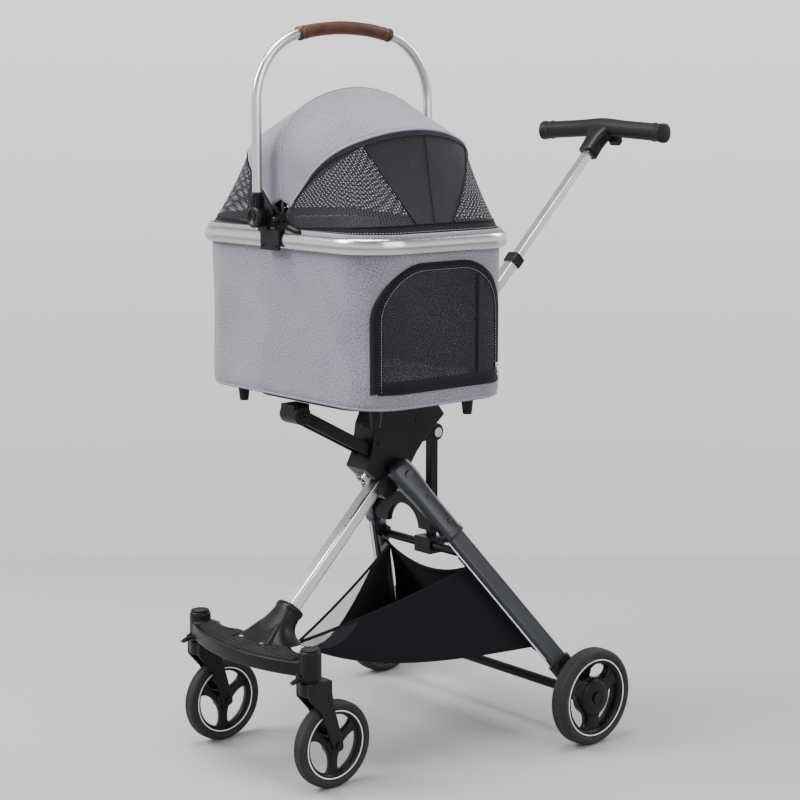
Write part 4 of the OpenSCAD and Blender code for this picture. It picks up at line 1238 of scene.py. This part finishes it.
def leg_trim():
    """Bright edge strips down the front of the leg tubes, and the sleeves' rivets."""
    strips, rivets = bmesh.new(), bmesh.new()
    start, end = 0.285, 0.90
    for _, s in SIDES:
        path = [(LEG_TOP.lerp(LEG_LOW, start + (end - start) * k / 20) - LEG_ACROSS * 2 * MM
                 + LEG_FLAT * 17.9 * MM) * flipped(s) for k in range(21)]
        sweep(path, 2.3 * MM, 8, 1.5, mesh=strips)
        for share in (0.12, 0.24):
            place = LEG_TOP.lerp(LEG_LOW, share) + LEG_ACROSS * 15.2 * MM - LEG_FLAT * 4 * MM
            screw_head(rivets, place * flipped(s), LEG_ACROSS * flipped(s))
    piece("leg_edge_strips", strips, CHROME, "rear_frame")
    piece("leg_rivets", rivets, SLATE, "rear_frame")


def leg_sleeves():
    """Glossy rounded sleeve over the top of each leg, swollen at the pivot, with a lip below."""
    for word, s in SIDES:
        rows = []
        for k in range(1, 61):
            t = k / 60
            place = -0.062 + 0.362 * t
            swell = math.exp(-((place - 0.01) / 0.075) ** 2)
            end = math.sqrt(max(0.0, 1 - max(0.0, 1 - t / 0.10) ** 2)) * MM
            lip = 1.5 if 0.93 < t < 0.985 else 0.0
            ring = oval(LEG_TOP.lerp(LEG_LOW, place), LEG_ACROSS, LEG_FLAT,
                        (14.5 + 2.0 * swell + lip) * end, (20.0 + 4.5 * swell + lip) * end, 0.62)
            rows.append([p * flipped(s) for p in ring])
        piece(f"{word}_sleeve_shown", grid(rows, closed_u=True, cap=True), SLATE, "rear_frame",
              [f"{word}_leg_sleeve"])


def plate_neck():
    """Neck that flows out of the foot plate into the pole's sleeve."""
    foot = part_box("plate_tread")[1].z
    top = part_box("front_plate")[1].z
    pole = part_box("front_pole")[0]
    rows = []
    for k in range(25):
        t = k / 24
        rise = (top - foot + 3 * MM) * t - 5 * MM
        here = Vector((0, pole.y + (foot - pole.z) + rise, foot + rise))
        lean = math.radians(45) * min(1.0, 1.6 * t)
        lip = 1.5 if 0.86 < t < 0.98 else 0
        rows.append(oval(here, X, Vector((0, math.sin(lean), math.cos(lean))).cross(X),
                         (25 + 46 * (1 - t) ** 3 + lip) * MM,
                         (21 + 15 * (1 - t) ** 2.5 + lip) * MM, 0.75, 40))
    piece("plate_neck", grid(rows, closed_u=True, cap=True), PLASTIC, "chassis")


def frame_screws():
    """Screw heads on the hub, the seat arm's barrel and the plate's neck; caps on the sockets."""
    heads = bmesh.new()
    for s in (-1, 1):
        for x, y, z, radius, height in (
                (30, -150, 560, 3.6, 1.8), (30, -60, 590, 3.6, 1.8), (30, -130, 625, 3.6, 1.8),
                (30, -30, 625, 3.6, 1.8), (24, -317, 628, 7, 2.4), (21, -372, 245, 3.4, 1.8)):
            screw_head(heads, Vector((s * x, y, z)) * MM, X * s, radius * MM, height * MM)
    piece("frame_screws", heads, SOFT_PLASTIC, "chassis")
    for word, _ in SIDES:
        stem = middle(f"{word}_caster_stem")
        cap = lathe([(h * MM, r * MM) for h, r in
                     ((0, 17), (1.2, 16.4), (2.0, 14), (2.2, 0.1), (0, 0.1))],
                    (stem.x, stem.y, SOCKET_TOP), Z, 40)
        piece(f"{word}_socket_cap", cap, SOFT_PLASTIC, "chassis")


# ---------- Basket ----------

TIP = Vector((0, -318, 210)) * MM
TOP_CORNER = Vector((116, -2, 322)) * MM
LOW_CORNER = Vector((196, 82, 170)) * MM


def loft(first, last, steps, push):
    """Rows of points from one line to another; push(share, point) moves each."""
    return [[a.lerp(b, i / steps) + push(i / steps, a) for a, b in zip(first, last)]
            for i in range(steps + 1)]


def basket_side(s):
    """Triangular side wall, its upper hem and its lower edge, from the tip to the leg."""
    hem, base = [], []
    for k in range(31):
        t = k / 30
        belly = 4 * t * (1 - t)
        hem.append((TIP.lerp(TOP_CORNER, t) - Z * 7 * MM * belly) * flipped(s))
        sag = Vector((14 * belly, 0, 26 * belly + 22 * belly * (1 - t))) * MM
        base.append((TIP.lerp(LOW_CORNER, t) - sag) * flipped(s))
    rows = loft(base, hem, 16, lambda t, p: X * s * 5 * MM * math.sin(math.pi * t))
    return rows, hem, base


def split_side(rows, reach):
    """A side wall's net at the tip and the cloth behind it, which meet on a slanting seam."""
    net_rows, cloth_rows = [], []
    for i, row in enumerate(rows):
        seam = 0.02 + (reach - 0.02) * i / (len(rows) - 1)
        for part, first, last in ((net_rows, 0.0, seam), (cloth_rows, seam, 1.0)):
            part.append([Vector(between(row, first + (last - first) * k / 30))
                         for k in range(31)])
    return net_rows, cloth_rows


def basket():
    """Sewn hammock: two sides, a sagging floor and a rear wall, with hems and net parts."""
    sides = {s: basket_side(s) for _, s in SIDES}
    for word, s in SIDES:
        parts = split_side(sides[s][0], 0.36 if s > 0 else 0.80)
        for part, material, rows in zip(("net", "side"), (BASKET_NET, BLACK_CLOTH), parts):
            made = piece(f"basket_{word}_{part}", side_uv(grid(rows)), material)
            fold_basket(made)
            declare(rows)
    floor_rows = loft(sides[1][2], sides[-1][2], 16, lambda t, p: Z * (
        -40 * MM * t * (1 - t) * min(1.0, abs(p.x) / 0.08)))
    floor = piece("basket_floor", grid(floor_rows), BLACK_CLOTH, cad=["storage_basket"])
    fold_basket(floor)
    declare(floor_rows)
    low_edge = [row[-1] for row in floor_rows]
    top_edge = []
    for k in range(len(low_edge)):
        share = 1 - 2 * k / (len(low_edge) - 1)
        top_edge.append(Vector((TOP_CORNER.x * share, TOP_CORNER.y,
                                TOP_CORNER.z - 26 * MM * (1 - share * share))))
    wall_rows = loft(low_edge, top_edge, 10, lambda t, p: Y * 5 * MM * math.sin(math.pi * t))
    wall = piece("basket_rear_wall", grid(wall_rows), BLACK_CLOTH)
    fold_basket(wall)
    declare(wall_rows)
    hems, straps = bmesh.new(), bmesh.new()
    for s in (-1, 1):
        rows, hem, _ = sides[s]
        sweep(hem, 3.2 * MM, 8, 0.6, mesh=hems)
        sweep([row[-1] for row in rows], 2.2 * MM, 8, 0.7, mesh=hems)
        corner = LOW_CORNER * flipped(s)
        hook = Vector((s * 231, 100, 152)) * MM
        top = TOP_CORNER * flipped(s)
        tip = TIP + X * s * 6 * MM
        for path, radius in (
                ([corner, corner.lerp(hook, 0.5) - Z * MM, hook], 3 * MM),
                ([top, top + Vector((s * 12, 4, 3)) * MM], 4 * MM),
                ([tip, tip + Vector((s * 5, -16, 2)) * MM, tip + Vector((s * 8, -40, 10)) * MM],
                 3.4 * MM)):
            sweep(path, radius, 8, 0.5, mesh=straps)
    sweep(wall_rows[-1], 3.0 * MM, 8, 0.6, mesh=hems)
    fold_basket(piece("basket_hems", hems, WEBBING))
    fold_basket(piece("basket_straps", straps, WEBBING))


def fold_basket(made):
    """Puts a basket part on the chassis with a mesh of its own; nothing makes it crumple as the
    rear legs swing under the pole.
    """
    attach(made, "chassis")
    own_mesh(made)


# ---------- Stage ----------

CAMERA_TURN = math.radians(49.62)
# Place on the way up from the lowest point of the sky, and its grey
SKY = ((0.40, 0.60), (0.47, 0.76), (0.53, 0.88), (0.72, 0.34), (0.97, 0.20))


def stage():
    """Pale floor that ends at the horizon, a grey sky and four soft lamps."""
    back, near, wide = 1.27, 7.0, 9.0
    floor = bpy.data.objects.new("floor", bpy.data.meshes.new("floor"))
    floor.data.from_pydata([(-wide, -near, 0), (wide, -near, 0), (wide, back, 0),
                            (-wide, back, 0)], [], [(0, 1, 2, 3)])
    floor.rotation_euler = (0, 0, CAMERA_TURN)
    bpy.context.scene.collection.objects.link(floor)
    g = Graph("pale_floor")
    clouds = g.noise(g.object, 0.6, 2.0)
    g.tone(clouds, (0.2, (0.42, 0.42, 0.425)), (0.8, (0.47, 0.47, 0.475)))
    g.shine(clouds, 0.5, 0.62)
    floor.data.materials.append(g.material)
    world = bpy.data.worlds.new("studio")
    world.use_nodes = True
    tree = world.node_tree
    coords = tree.nodes.new("ShaderNodeTexCoord")
    height = tree.nodes.new("ShaderNodeSeparateXYZ")
    sky = tree.nodes.new("ShaderNodeValToRGB")
    tree.links.new(coords.outputs["Generated"], height.inputs[0])
    share = tree.nodes.new("ShaderNodeMapRange")
    share.inputs["From Min"].default_value = -1.0
    tree.links.new(height.outputs["Z"], share.inputs["Value"])
    tree.links.new(share.outputs["Result"], sky.inputs["Fac"])
    while len(sky.color_ramp.elements) < len(SKY):
        sky.color_ramp.elements.new(0.5)
    for stop, (place, grey) in zip(sky.color_ramp.elements, SKY):
        stop.position = place
        stop.color = (grey * 0.98, grey * 0.99, grey, 1)
    tree.links.new(sky.outputs["Color"], tree.nodes["Background"].inputs["Color"])
    tree.nodes["Background"].inputs["Strength"].default_value = 1.62
    bpy.context.scene.world = world
    area_light("key", (-1.6, -2.6, 3.0), 1.6, 165)
    area_light("fill", (3.2, -0.4, 2.2), 2.4, 55)
    area_light("back", (0.5, 2.8, 2.6), 1.6, 60)
    area_light("top", (-0.2, -0.6, 3.4), 1.8, 120)


def area_light(name, place, size, power):
    data = bpy.data.lights.new(name, "AREA")
    data.size = size
    data.energy = power
    lamp = bpy.data.objects.new(name, data)
    lamp.location = place
    aim = Vector((0, -0.1, 0.65)) - Vector(place)
    lamp.rotation_euler = aim.to_track_quat("-Z", "Y").to_euler()
    bpy.context.scene.collection.objects.link(lamp)


def camera():
    data = bpy.data.cameras.new("view")
    data.lens = 86.39
    data.sensor_width = 36
    made = bpy.data.objects.new("view", data)
    made.location = (2.6605, -2.3370, 1.2009)
    made.rotation_euler = (math.radians(80.67), 0, CAMERA_TURN)
    bpy.context.scene.collection.objects.link(made)
    bpy.context.scene.camera = made


camera()
stage()
dress_cad()
wheels()
carrier_body()
carrier_trim()
cushion()
door()
canopy()
bow()
bracket_details()
handle()
leg_trim()
leg_sleeves()
plate_neck()
frame_screws()
basket()
